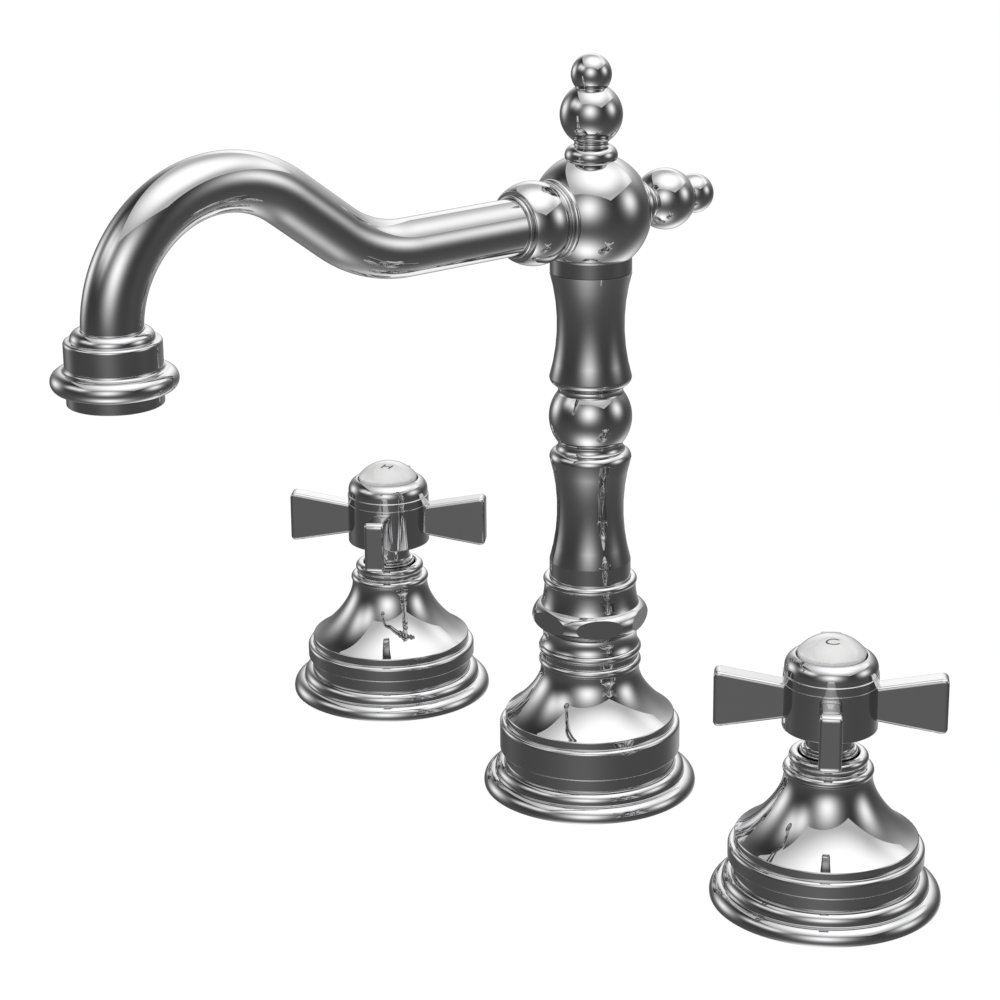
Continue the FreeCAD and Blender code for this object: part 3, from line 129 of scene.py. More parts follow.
@dataclass(frozen=True)
class Finish:
    """A surface finish: two close shades in a fine pattern that also drives roughness and relief.

    Attributes:
        name: the material and how its surface was made.
        slot: the record's material slot.
        shade: the main colour.
        other: the colour that the pattern drifts to.
        roughness: the smoothest and the roughest value of the pattern.
        grain: the size of the pattern's features, millimetres.
        relief: the height of the pattern, millimetres.
        stretch: how the pattern is drawn out along X, Y and Z.
        metallic: 1 for bare metal.
        coat: the weight of a clear layer, such as a glaze.
    """

    name: str
    slot: str
    shade: str
    other: str
    roughness: tuple[float, float]
    grain: float
    relief: float = 0.0
    stretch: tuple[float, float, float] = (1.0, 1.0, 1.0)
    metallic: float = 0.0
    coat: float = 0.0

    def material(self) -> bpy.types.Material:
        """The finish as a material, which is made once.

        Returns:
            The material that carries this finish's name.
        """
        made = bpy.data.materials.get(self.name)
        if made is not None:
            return made
        made = blank_material(self.name)
        tree = made.node_tree
        place = add_node(tree, "ShaderNodeTexCoord", {})
        drawn = add_node(tree, "ShaderNodeMapping", {
            "Vector": place.outputs["Object"], "Scale": self.stretch})
        pattern = add_node(tree, "ShaderNodeTexNoise", {
            "Vector": drawn.outputs["Vector"], "Scale": 1 / (self.grain * MM), "Detail": PATTERN_DETAIL})
        colour = add_node(tree, "ShaderNodeMix", {
            "data_type": "RGBA", 0: pattern.outputs["Fac"], 6: linear(self.shade), 7: linear(self.other)})
        rough = add_node(tree, "ShaderNodeMapRange", {
            "Value": pattern.outputs["Fac"], "From Min": PATTERN_SPAN[0], "From Max": PATTERN_SPAN[1],
            "To Min": self.roughness[0], "To Max": self.roughness[1]})
        shader = add_node(tree, "ShaderNodeBsdfPrincipled", {
            "Base Color": colour.outputs[2], "Roughness": rough.outputs["Result"],
            "Metallic": self.metallic, "Coat Weight": self.coat, "Coat Roughness": GLAZE_ROUGHNESS})
        if self.relief:
            bump = add_node(tree, "ShaderNodeBump", {
                "Height": pattern.outputs["Fac"], "Distance": self.relief * MM, "Strength": 1.0})
            tree.links.new(bump.outputs["Normal"], shader.inputs["Normal"])
        add_node(tree, "ShaderNodeOutputMaterial", {"Surface": shader.outputs["BSDF"]})
        return made


# Chrome plated on buffed brass: a clear mirror, with the faint unevenness that buffing leaves
CHROME = Finish("polished_chrome_plate", "chrome_plate", "#CECECF", "#CACACB", (0.02, 0.035), 9.0,
                relief=0.00002, metallic=1.0)
# Vitreous china, dipped and fired: a white body under clear glaze, a little uneven in tone
PORCELAIN = Finish("glazed_porcelain", "porcelain", "#F3F3F3", "#EFEFEE", (0.10, 0.16), 3.0,
                   relief=0.002, coat=1.0)
# Enamel colour stencilled on the glaze and fired again: nearly black, duller than the glaze
ENAMEL = Finish("fired_enamel", "porcelain", "#2B2B2C", "#363637", (0.30, 0.42), 0.6)
# Brass from the lathe: warm yellow with fine rings that blur its highlights
BRASS = Finish("turned_brass", "brass", "#C79A4B", "#B4863C", (0.22, 0.36), 0.8, relief=0.004,
               stretch=(0.1, 0.1, 1.0), metallic=1.0)
# Copper tube, drawn: reddish, streaked along its length
COPPER = Finish("drawn_copper", "copper", "#C98561", "#B4714F", (0.20, 0.34), 0.7, relief=0.003,
                stretch=(0.05, 1.0, 1.0), metallic=1.0)
# Stainless sheet as rolled: grey, with a soft sheen
STEEL = Finish("rolled_stainless_steel", "stainless_steel", "#B6B6B5", "#A5A5A4", (0.24, 0.38), 0.6,
               relief=0.002, metallic=1.0)
# Nitrile rubber, moulded: near black and dull
RUBBER = Finish("moulded_nitrile_rubber", "rubber", "#1B1B1C", "#252526", (0.55, 0.75), 0.5, relief=0.01)
# Vulcanised fibre sheet, punched: red brown and matt, with pressed fibres in it
FIBRE = Finish("vulcanised_fibre", "fibre", "#7A3B2C", "#692F22", (0.65, 0.85), 0.7, relief=0.01)
# Acetal, moulded: off-white with a waxy sheen
ACETAL = Finish("moulded_acetal", "acetal", "#E6E6E1", "#DCDCD6", (0.28, 0.40), 1.2, relief=0.002)
# Alumina ceramic, lapped flat: ivory, with a fine even polish
ALUMINA = Finish("lapped_alumina", "alumina", "#EEE9DA", "#E4DECC", (0.14, 0.24), 0.5, relief=0.001)

FINISHES = {f.slot: f for f in (CHROME, PORCELAIN, BRASS, COPPER, STEEL, RUBBER, FIBRE, ACETAL, ALUMINA)}


@dataclass(frozen=True)
class Place:
    """Where a node stands: its upright axis, its foot, its top and its outer radius, in millimetres."""

    x: float
    y: float
    foot: float
    top: float
    radius: float

    @classmethod
    def of(cls, node: str) -> "Place":
        """The place of a node of the frame.

        Args:
            node: the node's name.

        Returns:
            Its axis, heights and radius, read from its box.
        """
        low, high = (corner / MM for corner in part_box(node))
        middle, span = (low + high) / 2, high - low
        return cls(middle.x, middle.y, low.z, high.z, min(span.x, span.y) / 2)

    @property
    def middle(self) -> float:
        """The height halfway between its foot and its top."""
        return (self.foot + self.top) / 2


def on_circle(cr: float, cz: float, radius: float, angle: float) -> tuple[float, float]:
    """The point of a circle at an angle in degrees from the outward direction."""
    a = math.radians(angle)
    return cr + radius * math.cos(a), cz + radius * math.sin(a)


def cove_radius(inset: float, rise: float, radius: float) -> float:
    """The radius of a cove that leaves a round form and meets a wall upright.

    Args:
        inset: how far the wall lies outside the round form's centre.
        rise: how far the wall's foot lies above that centre.
        radius: the round form's own radius.

    Returns:
        The cove's radius.
    """
    return (inset ** 2 + rise ** 2 - radius ** 2) / (2 * (radius - inset))


class Outline:
    """An outline of radius and height that is drawn from its inside foot and turned about Z."""

    def __init__(self, r: float, z: float) -> None:
        """Starts the outline at a point.

        Args:
            r: the point's radius.
            z: the point's height.
        """
        self.mesh = bmesh.new()
        self.start = (r, z)
        self.last = self.mesh.verts.new(self.spot(r, z))

    @staticmethod
    def spot(r: float, z: float) -> Vector:
        """The vertex place, in metres, of a radius and a height."""
        return Vector((r, 0, z)) * MM

    @property
    def at(self) -> tuple[float, float]:
        """The radius and height that the outline has come to."""
        return self.last.co.x / MM, self.last.co.z / MM

    def to(self, r: float, z: float) -> None:
        """Adds one straight edge."""
        self.last = bmesh.ops.extrude_vert_indiv(self.mesh, verts=[self.last])["verts"][0]
        self.last.co = self.spot(r, z)

    def line(self, r: float, z: float) -> "Outline":
        """Runs straight to a point; a long stretch gets a support point near each end, so it shades flat.

        Args:
            r: the radius to reach.
            z: the height to reach.

        Returns:
            The outline itself.
        """
        from_r, from_z = self.at
        length = math.dist((from_r, from_z), (r, z))
        if length < TINY:
            return self
        if length > 3 * SUPPORT:
            near = SUPPORT / length
            for share in (near, 1 - near):
                self.to(from_r + (r - from_r) * share, from_z + (z - from_z) * share)
        self.to(r, z)
        return self

    def arc(self, cr: float, cz: float, radius: float, first: float, last: float) -> "Outline":
        """Runs to an arc and along it.

        Args:
            cr: the radius at which the arc's centre lies.
            cz: the height of the arc's centre.
            radius: the arc's own radius.
            first: the angle at which it starts, degrees from outwards.
            last: the angle at which it ends.

        Returns:
            The outline itself.
        """
        self.line(*on_circle(cr, cz, radius, first))
        steps = max(ARC_LEAST, math.ceil(abs(last - first) / ARC_STEP))
        grown = bmesh.ops.spin(self.mesh, geom=[self.last], cent=self.spot(cr, cz), axis=(0, -1, 0),
                               angle=math.radians(last - first), steps=steps)
        self.last = picked(grown["geom_last"], bmesh.types.BMVert)[0]
        return self

    def through(self, mid_r: float, mid_z: float, r: float, z: float) -> "Outline":
        """Runs along the arc through a middle point to an end point.

        Args:
            mid_r: the middle point's radius.
            mid_z: the middle point's height.
            r: the end point's radius.
            z: the end point's height.

        Returns:
            The outline itself.
        """
        a, b, c = (complex(*p) for p in (self.at, (mid_r, mid_z), (r, z)))
        w = (c - a) / (b - a)
        centre = (b - a) * (w - abs(w) ** 2) / (2j * w.imag) + a
        first, last = (math.degrees(math.atan2((p - centre).imag, (p - centre).real)) for p in (a, c))
        turn = (last - first + FULL / 2) % FULL - FULL / 2
        return self.arc(centre.real, centre.imag, abs(a - centre), first, first + turn)

    def curve(self, pull: tuple, other_pull: tuple, end: tuple) -> "Outline":
        """Runs along a free curve between two pulls to an end point.

        Args:
            pull: the first handle, radius and height.
            other_pull: the second handle.
            end: the point to reach.

        Returns:
            The outline itself.
        """
        handles = (self.spot(*p) for p in (self.at, pull, other_pull, end))
        for point in interpolate_bezier(*handles, CURVE_POINTS)[1:]:
            self.to(point.x / MM, point.z / MM)
        return self

    def bead(self, out_r: float, z: float, radius: float, low_r: float, high_r: float) -> "Outline":
        """Runs up over a round bead.

        Args:
            out_r: the bead's outermost radius.
            z: the height of its middle.
            radius: the bead's own radius.
            low_r: the wall below it.
            high_r: the wall above it.

        Returns:
            The outline itself.
        """
        centre = out_r - radius
        low, high = [math.degrees(math.acos(max(r - centre, 0.0) / radius)) for r in (low_r, high_r)]
        self.line(low_r, on_circle(centre, z, radius, -low)[1])
        self.arc(centre, z, radius, -low, high)
        return self.line(high_r, self.at[1])

    def soften(self) -> None:
        """Rounds each corner of the outline a little, as polishing does."""
        bmesh.ops.remove_doubles(self.mesh, verts=self.mesh.verts, dist=TINY * MM)
        corners = []
        for vert in self.mesh.verts:
            if len(vert.link_edges) == 2:
                arms = [edge.other_vert(vert).co - vert.co for edge in vert.link_edges]
                if math.degrees(arms[0].angle(-arms[1])) > CORNER_TURN:
                    corners.append(vert)
        for corner in corners:
            bmesh.ops.bevel(self.mesh, geom=[corner], offset=CORNER * MM, offset_type="OFFSET",
                            segments=CORNER_STEPS, profile=0.5, affect="VERTICES", material=-1,
                            clamp_overlap=True)

    def turn(self, crisp: bool = False) -> bmesh.types.BMesh:
        """Turns the outline a full circle about Z; one that starts off the axis is closed first.

        Args:
            crisp: leaves the corners as sharp as they were drawn.

        Returns:
            The turned mesh.
        """
        if self.start[0] > TINY:
            self.line(*self.start)
        if not crisp:
            self.soften()
        whole = self.mesh.verts[:] + self.mesh.edges[:]
        bmesh.ops.spin(self.mesh, geom=whole, cent=(0, 0, 0), axis=(0, 0, 1), angle=math.tau,
                       steps=ROUND_STEPS, use_merge=True)
        bmesh.ops.remove_doubles(self.mesh, verts=self.mesh.verts, dist=TINY * MM)
        bmesh.ops.recalc_face_normals(self.mesh, faces=self.mesh.faces)
        return self.mesh


def shift(mesh: bmesh.types.BMesh, x: float = 0.0, y: float = 0.0, z: float = 0.0) -> bmesh.types.BMesh:
    """Moves a mesh by millimetres and hands it back."""
    bmesh.ops.translate(mesh, verts=mesh.verts, vec=Vector((x, y, z)) * MM)
    return mesh


def turned(degrees: float, axis: str) -> Matrix:
    """The turn by an angle about an axis through the origin."""
    return Matrix.Rotation(math.radians(degrees), 3, axis)


def tip(mesh: bmesh.types.BMesh, degrees: float, axis: str = "X") -> bmesh.types.BMesh:
    """Turns a mesh about an axis through the origin and hands it back."""
    bmesh.ops.rotate(mesh, verts=mesh.verts, cent=(0, 0, 0), matrix=turned(degrees, axis))
    return mesh


def picked(parts: list, kind: type) -> list:
    """The parts of one kind, such as the edges among what an operator made."""
    return [part for part in parts if isinstance(part, kind)]


def new_object(name: str, mesh: bmesh.types.BMesh, material: bpy.types.Material) -> bpy.types.Object:
    """Makes an object in the scene.

    Args:
        name: the object's name.
        mesh: its shape, in place; it is used up.
        material: what it is made of.

    Returns:
        The new object.
    """
    data = bpy.data.meshes.new(name)
    mesh.to_mesh(data)
    mesh.free()
    data.materials.append(material)
    made = bpy.data.objects.new(name, data)
    bpy.context.scene.collection.objects.link(made)
    return made


def add_piece(name: str, mesh: bmesh.types.BMesh, finish: Finish, body: str, *nodes: str) -> None:
    """Makes a finished piece of the faucet.

    Args:
        name: the piece's name.
        mesh: its shape, in place; it is used up.
        finish: its finish.
        body: the body that it moves with.
        nodes: the frame's nodes that it stands for.
    """
    for face in mesh.faces:
        face.smooth = True
    for edge in mesh.edges:
        if edge.is_manifold and edge.calc_face_angle() > math.radians(SHARP):
            edge.smooth = False
    piece = new_object(name, mesh, finish.material())
    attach(piece, body)
    if nodes:
        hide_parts(*nodes)
    LOG.info("%s on %s, %d faces", name, body, len(piece.data.polygons))


def plate(mesh: bmesh.types.BMesh, body: str, node: str, name: str = "") -> None:
    """Makes the chrome-plated piece that stands for a node.

    Args:
        mesh: its shape, in place; it is used up.
        body: the body that it moves with.
        node: the node.
        name: what the piece is called, where that isn't the node's name.
    """
    add_piece((name or node) + "_polished", mesh, CHROME, body, node)


@dataclass
class DeckFlange:
    """A round deck flange: a rim, a roll above it and a sunk seat for the bell."""

    node: str
    bore: float = 10.53
    recess: float = 27.05
    recess_deep: float = 2.0
    rim_round: float = 3.3
    rim_rise: float = 1.0
    roll_r: float = 28.9
    roll_round: float = 2.6
    seat_r: float = 26.25
    seat_deep: float = 2.0

    def build(self) -> None:
        """Turns the flange and plates it."""
        at = Place.of(self.node)
        edge = Outline(self.bore, at.foot + self.recess_deep).line(self.recess, at.foot + self.recess_deep)
        edge.line(self.recess, at.foot)
        foot_angle = math.degrees(math.asin(self.rim_rise / self.rim_round))
        rim_z = at.foot + self.rim_rise
        edge.arc(at.radius - self.rim_round, rim_z, self.rim_round, -foot_angle, 90)
        edge.line(self.roll_r, rim_z + self.rim_round)
        edge.arc(self.roll_r - self.roll_round, at.top - self.roll_round, self.roll_round, 0, 90)
        seat_z = at.top - self.seat_deep
        edge.line(self.seat_r, at.top).line(self.seat_r, seat_z).line(self.bore, seat_z)
        plate(shift(edge.turn(), at.x, at.y), "stand", self.node)


@dataclass
class Bell:
    """A bell: an inset foot, a drum, a lip and a flared skirt up to a beaded neck."""

    node: str
    drum: float
    skirt: float
    slope: float
    skirt_pull: float
    neck_r: float
    neck_pull: float
    bore: float
    foot_r: float = 26.2
    reveal: float = 5.8
    drum_r: float = 27.4
    drum_edge: float = 1.1
    drum_foot_edge: float = 0.65
    lip_r: float = 25.7
    lip_edge: float = 0.6
    lip_rise: float = 2.7
    wall: float = 2.4

    def neck(self, edge: Outline) -> None:
        """Adds the beads round the neck; a plain bell has none."""

    def build(self) -> None:
        """Turns the bell and plates it."""
        at = Place.of(self.node)
        inside, drum_foot = self.foot_r - self.wall, at.foot + self.reveal
        drum_top = drum_foot + self.drum
        neck_z = drum_top + self.lip_rise + self.skirt
        edge = Outline(inside, at.foot).line(self.foot_r, at.foot).line(self.foot_r, drum_foot)
        foot_edge = self.drum_foot_edge
        edge.arc(self.drum_r - foot_edge, drum_foot + foot_edge, foot_edge, -90, 0)
        edge.arc(self.drum_r - self.drum_edge, drum_top - self.drum_edge, self.drum_edge, 0, 90)
        edge.line(self.lip_r, drum_top)
        lip_z = drum_top + self.lip_rise - self.lip_edge
        edge.arc(self.lip_r - self.lip_edge, lip_z, self.lip_edge, 0, 90 - self.slope)
        pull = on_circle(*edge.at, self.skirt_pull, FULL / 2 - self.slope)
        edge.curve(pull, (self.neck_r, neck_z - self.neck_pull), (self.neck_r, neck_z))
        self.neck(edge)
        edge.line(self.bore, edge.at[1]).line(self.bore, neck_z - self.neck_pull)
        edge.line(inside - self.wall / 2, drum_top - self.wall / 2).line(inside, drum_top - self.wall)
        plate(shift(edge.turn(), at.x, at.y), "stand", self.node)


@dataclass
class SpoutBell(Bell):
    """The bell under the column, with two like beads round its neck."""

    bead_r: float = 15.45
    bead_round: float = 1.3
    bead_rise: float = 2.4
    bead_spacing: float = 4.3
    groove_r: float = 14.4

    def neck(self, edge: Outline) -> None:
        """Adds the two beads.

        Args:
            edge: the bell's outline, come to the top of its skirt.
        """
        low = edge.at[1] + self.bead_rise
        edge.bead(self.bead_r, low, self.bead_round, self.neck_r, self.groove_r)
        edge.bead(self.bead_r, low + self.bead_spacing, self.bead_round, self.groove_r,
                  self.bead_r - self.bead_round)


@dataclass
class ValveBell(Bell):
    """The bell of a valve, with a collar bead and a narrower bead round its open mouth."""

    collar_r: float = 12.65
    collar_round: float = 1.4
    collar_rise: float = 1.6
    groove_r: float = 10.6
    mouth_r: float = 11.05
    mouth_round: float = 1.5
    mouth_rise: float = 3.7
    mouth_lip: float = 0.6

    def neck(self, edge: Outline) -> None:
        """Adds the collar bead and the mouth's bead.

        Args:
            edge: the bell's outline, come to the top of its skirt.
        """
        collar_z = edge.at[1] + self.collar_rise
        edge.bead(self.collar_r, collar_z, self.collar_round, self.neck_r, self.groove_r)
        edge.bead(self.mouth_r, collar_z + self.mouth_rise, self.mouth_round, self.groove_r,
                  self.mouth_r - self.mouth_round)
        edge.arc(self.bore + self.mouth_lip, edge.at[1] - self.mouth_lip, self.mouth_lip, 90, 180)


@dataclass
class UnionNut:
    """The ball-shaped nut with six flats, whose cup holds the column's foot."""

    node: str = "union_nut"
    bore: float = 12.05
    foot_r: float = 14.9
    neck_r: float = 14.1
    neck_rise: float = 2.4
    ball_r: float = 17.45
    ball_round: float = 3.6
    ball_rise: float = 9.2
    ball_sweep: tuple[float, float] = (-65.0, 78.0)
    flat_count: int = 6
    flats: float = 31.9        # from one flat to the opposite one
    waist_r: float = 13.75
    waist_rise: float = 17.5
    bead_r: float = 14.05
    bead_round: float = 1.1
    bead_rise: float = 20.2
    bead_foot: float = -50.0
    cup_r: float = 12.2

    def outline(self, at: Place, cup_floor: float) -> bmesh.types.BMesh:
        """The nut as it leaves the lathe.

        Args:
            at: the node's place.
            cup_floor: the height of the cup's floor.

        Returns:
            The turned mesh.
        """
        ball = self.ball_r - self.ball_round, at.foot + self.ball_rise, self.ball_round
        bead = self.bead_r - self.bead_round, at.foot + self.bead_rise, self.bead_round
        low, high = self.ball_sweep
        edge = Outline(self.bore, at.foot).line(self.foot_r, at.foot)
        edge.through(self.neck_r, at.foot + self.neck_rise, *on_circle(*ball, low))
        edge.arc(*ball, low, high)
        edge.through(self.waist_r, at.foot + self.waist_rise, *on_circle(*bead, self.bead_foot))
        edge.arc(*bead, self.bead_foot, 90)
        return edge.line(self.cup_r, at.top).line(self.cup_r, cup_floor).line(self.bore, cup_floor).turn()

    def mill(self, nut: bmesh.types.BMesh) -> None:
        """Cuts the six flats; two corners of the hexagon lie on the X axis.

        Args:
            nut: the turned nut.
        """
        for k in range(self.flat_count):
            way = turned((k + 0.5) * FULL / self.flat_count, "Z") @ Vector((1, 0, 0))
            whole = nut.verts[:] + nut.edges[:] + nut.faces[:]
            cut = bmesh.ops.bisect_plane(nut, geom=whole, dist=TINY * MM, plane_co=way * self.flats / 2 * MM,
                                         plane_no=way, clear_outer=True)
            rim = picked(cut["geom_cut"], bmesh.types.BMEdge)
            bmesh.ops.edgeloop_fill(nut, edges=rim)
            for edge in rim:
                edge.smooth = False

    def build(self) -> None:
        """Turns the nut, mills its flats and plates it."""
        at = Place.of(self.node)
        nut = self.outline(at, Place.of("column_lower_sleeve").foot)
        self.mill(nut)
        plate(nut, "stand", self.node)


@dataclass
class Column:
    """The two waisted sleeves of the column and the ball between them."""

    bore: float = 8.05
    waist_r: float = 9.9
    foot_band: float = 10.7
    lip_round: float = 2.5
    ball_neck_r: float = 9.6
    ball_cove: float = 1.2
    washer_rim: float = 1.8

    def lower_sleeve(self) -> None:
        """The lower sleeve: a foot band, a waist and a rounded lip."""
        at = Place.of("column_lower_sleeve")
        lip_z, band_top = at.top - self.lip_round, at.foot + self.foot_band
        edge = Outline(self.bore, at.foot).line(at.radius, at.foot).line(at.radius, band_top)
        edge.through(self.waist_r, (band_top + lip_z) / 2, at.radius, lip_z)
        edge.arc(at.radius - self.lip_round, lip_z, self.lip_round, 0, 90).line(self.bore, at.top)
        plate(edge.turn(), "stand", "column_lower_sleeve")

    def ball(self) -> None:
        """The ball, with a hollow neck at each end that runs on into the sleeve's lip."""
        at, lip_r = Place.of("column_ball"), Place.of("column_lower_sleeve").radius - self.lip_round
        middle, cove_r = at.middle, self.ball_neck_r + self.ball_cove
        neck = math.sqrt((at.radius + self.ball_cove) ** 2 - cove_r ** 2)
        meet, rise = math.degrees(math.atan2(neck, cove_r)), middle - neck - at.foot
        flare = cove_radius(self.ball_neck_r - lip_r, rise + self.lip_round, self.lip_round)
        flare_r, turn = self.ball_neck_r + flare, math.degrees(math.asin(rise / flare))
        edge = Outline(self.bore, at.foot).arc(flare_r, middle - neck, flare, FULL / 2 + turn, FULL / 2)
        edge.arc(cove_r, middle - neck, self.ball_cove, FULL / 2, FULL / 2 - meet)
        edge.arc(0, middle, at.radius, -meet, meet)
        edge.arc(cove_r, middle + neck, self.ball_cove, FULL / 2 + meet, FULL / 2)
        edge.arc(flare_r, middle + neck, flare, FULL / 2, FULL / 2 - turn).line(self.bore, at.top)
        plate(edge.turn(), "stand", "column_ball")

    def upper_sleeve(self) -> None:
        """The upper sleeve: a rounded lip, a waist, a flare and a recess for the swivel's washer."""
        at, recess_z = Place.of("column_upper_sleeve"), Place.of("swivel_washer").foot
        lip_z = at.foot + self.lip_round
        edge = Outline(self.bore, at.foot).arc(at.radius - self.lip_round, lip_z, self.lip_round, -90, 0)
        edge.through(self.waist_r, (lip_z + at.top) / 2, at.radius, at.top)
        edge.line(at.radius - self.washer_rim, at.top).line(at.radius - self.washer_rim, recess_z)
        edge.line(self.bore, recess_z)
        plate(edge.turn(crisp=True), "stand", "column_upper_sleeve")

    def build(self) -> None:
        """Builds the three pieces."""
        self.lower_sleeve()
        self.ball()
        self.upper_sleeve()


@dataclass
class Finial:
    """A screwed ornament: a thick ring, a short neck, a ball and a smaller one, from the hub's centre."""

    ring_r: float = 7.65
    ring_round: float = 2.95
    ring_at: float = 16.8
    neck_r: float = 4.85
    ball_r: float = 9.05
    ball_at: float = 28.5
    tip_r: float = 5.85
    tip_at: float = 40.0

    def shape(self) -> bmesh.types.BMesh:
        """The finial, standing on Z over the hub's centre.

        Returns:
            The turned mesh.
        """
        root, foot = self.ring_r - self.ring_round, self.ring_at - self.ring_round
        ring_top = self.ring_at + math.sqrt(self.ring_round ** 2 - (self.neck_r - root) ** 2)
        ball_foot = self.ball_at - math.sqrt(self.ball_r ** 2 - self.neck_r ** 2)
        neck_z = (ring_top + ball_foot) / 2
        edge = Outline(0, foot).line(root, foot)
        rise = neck_z - self.ring_at
        cove = cove_radius(self.neck_r - root, rise, self.ring_round)
        turn = math.degrees(math.atan2(rise, self.neck_r - root + cove))
        edge.arc(root, self.ring_at, self.ring_round, -90, turn)
        edge.arc(self.neck_r + cove, neck_z, cove, FULL / 2 + turn, FULL / 2)
        drop = self.ball_at - neck_z
        cove = cove_radius(self.neck_r, drop, self.ball_r)
        turn = math.degrees(math.atan2(drop, self.neck_r + cove))
        edge.arc(self.neck_r + cove, neck_z, cove, FULL / 2, FULL / 2 - turn)
        apart = self.tip_at - self.ball_at
        waist = (apart ** 2 + self.ball_r ** 2 - self.tip_r ** 2) / (2 * apart)
        edge.arc(0, self.ball_at, self.ball_r, -turn, math.degrees(math.asin(waist / self.ball_r)))
        return edge.bead(self.tip_r, self.tip_at, self.tip_r, edge.at[0], 0).turn()


@dataclass
class SpoutHub:
    """The ball on the swivel, its collar and its two finials."""

    ball_r: float = 17.5
    neck_r: float = 9.95
    bore: float = 8.06
    ceiling: float = 11.0      # height of the spigot's socket
    collar_r: float = 11.95
    collar_sunk: float = 0.6   # how far the collar reaches into the ball

    def build(self) -> None:
        """Builds the hub, the collar under it and the finials on top and behind."""
        body, foot, centre = "swing_spout", Place.of("spout_hub").foot, Place.of("spout_union").middle
        rise = math.degrees(math.acos(self.neck_r / self.ball_r))
        edge = Outline(0, foot + self.ceiling).line(self.bore, foot + self.ceiling).line(self.bore, foot)
        edge.line(self.neck_r, foot).arc(0, centre, self.ball_r, -rise, 90)
        plate(edge.turn(), body, "spout_hub")
        inner = self.neck_r + SEAT
        top = centre - math.sqrt(self.ball_r ** 2 - self.collar_r ** 2) + self.collar_sunk
        band = Outline(inner, foot).line(self.collar_r, foot).line(self.collar_r, top).line(inner, top)
        plate(band.turn(crisp=True), body, "swivel_collar")
        plate(shift(Finial().shape(), z=centre), body, "top_finial")
        plate(shift(tip(Finial().shape(), -90), z=centre), body, "rear_finial")


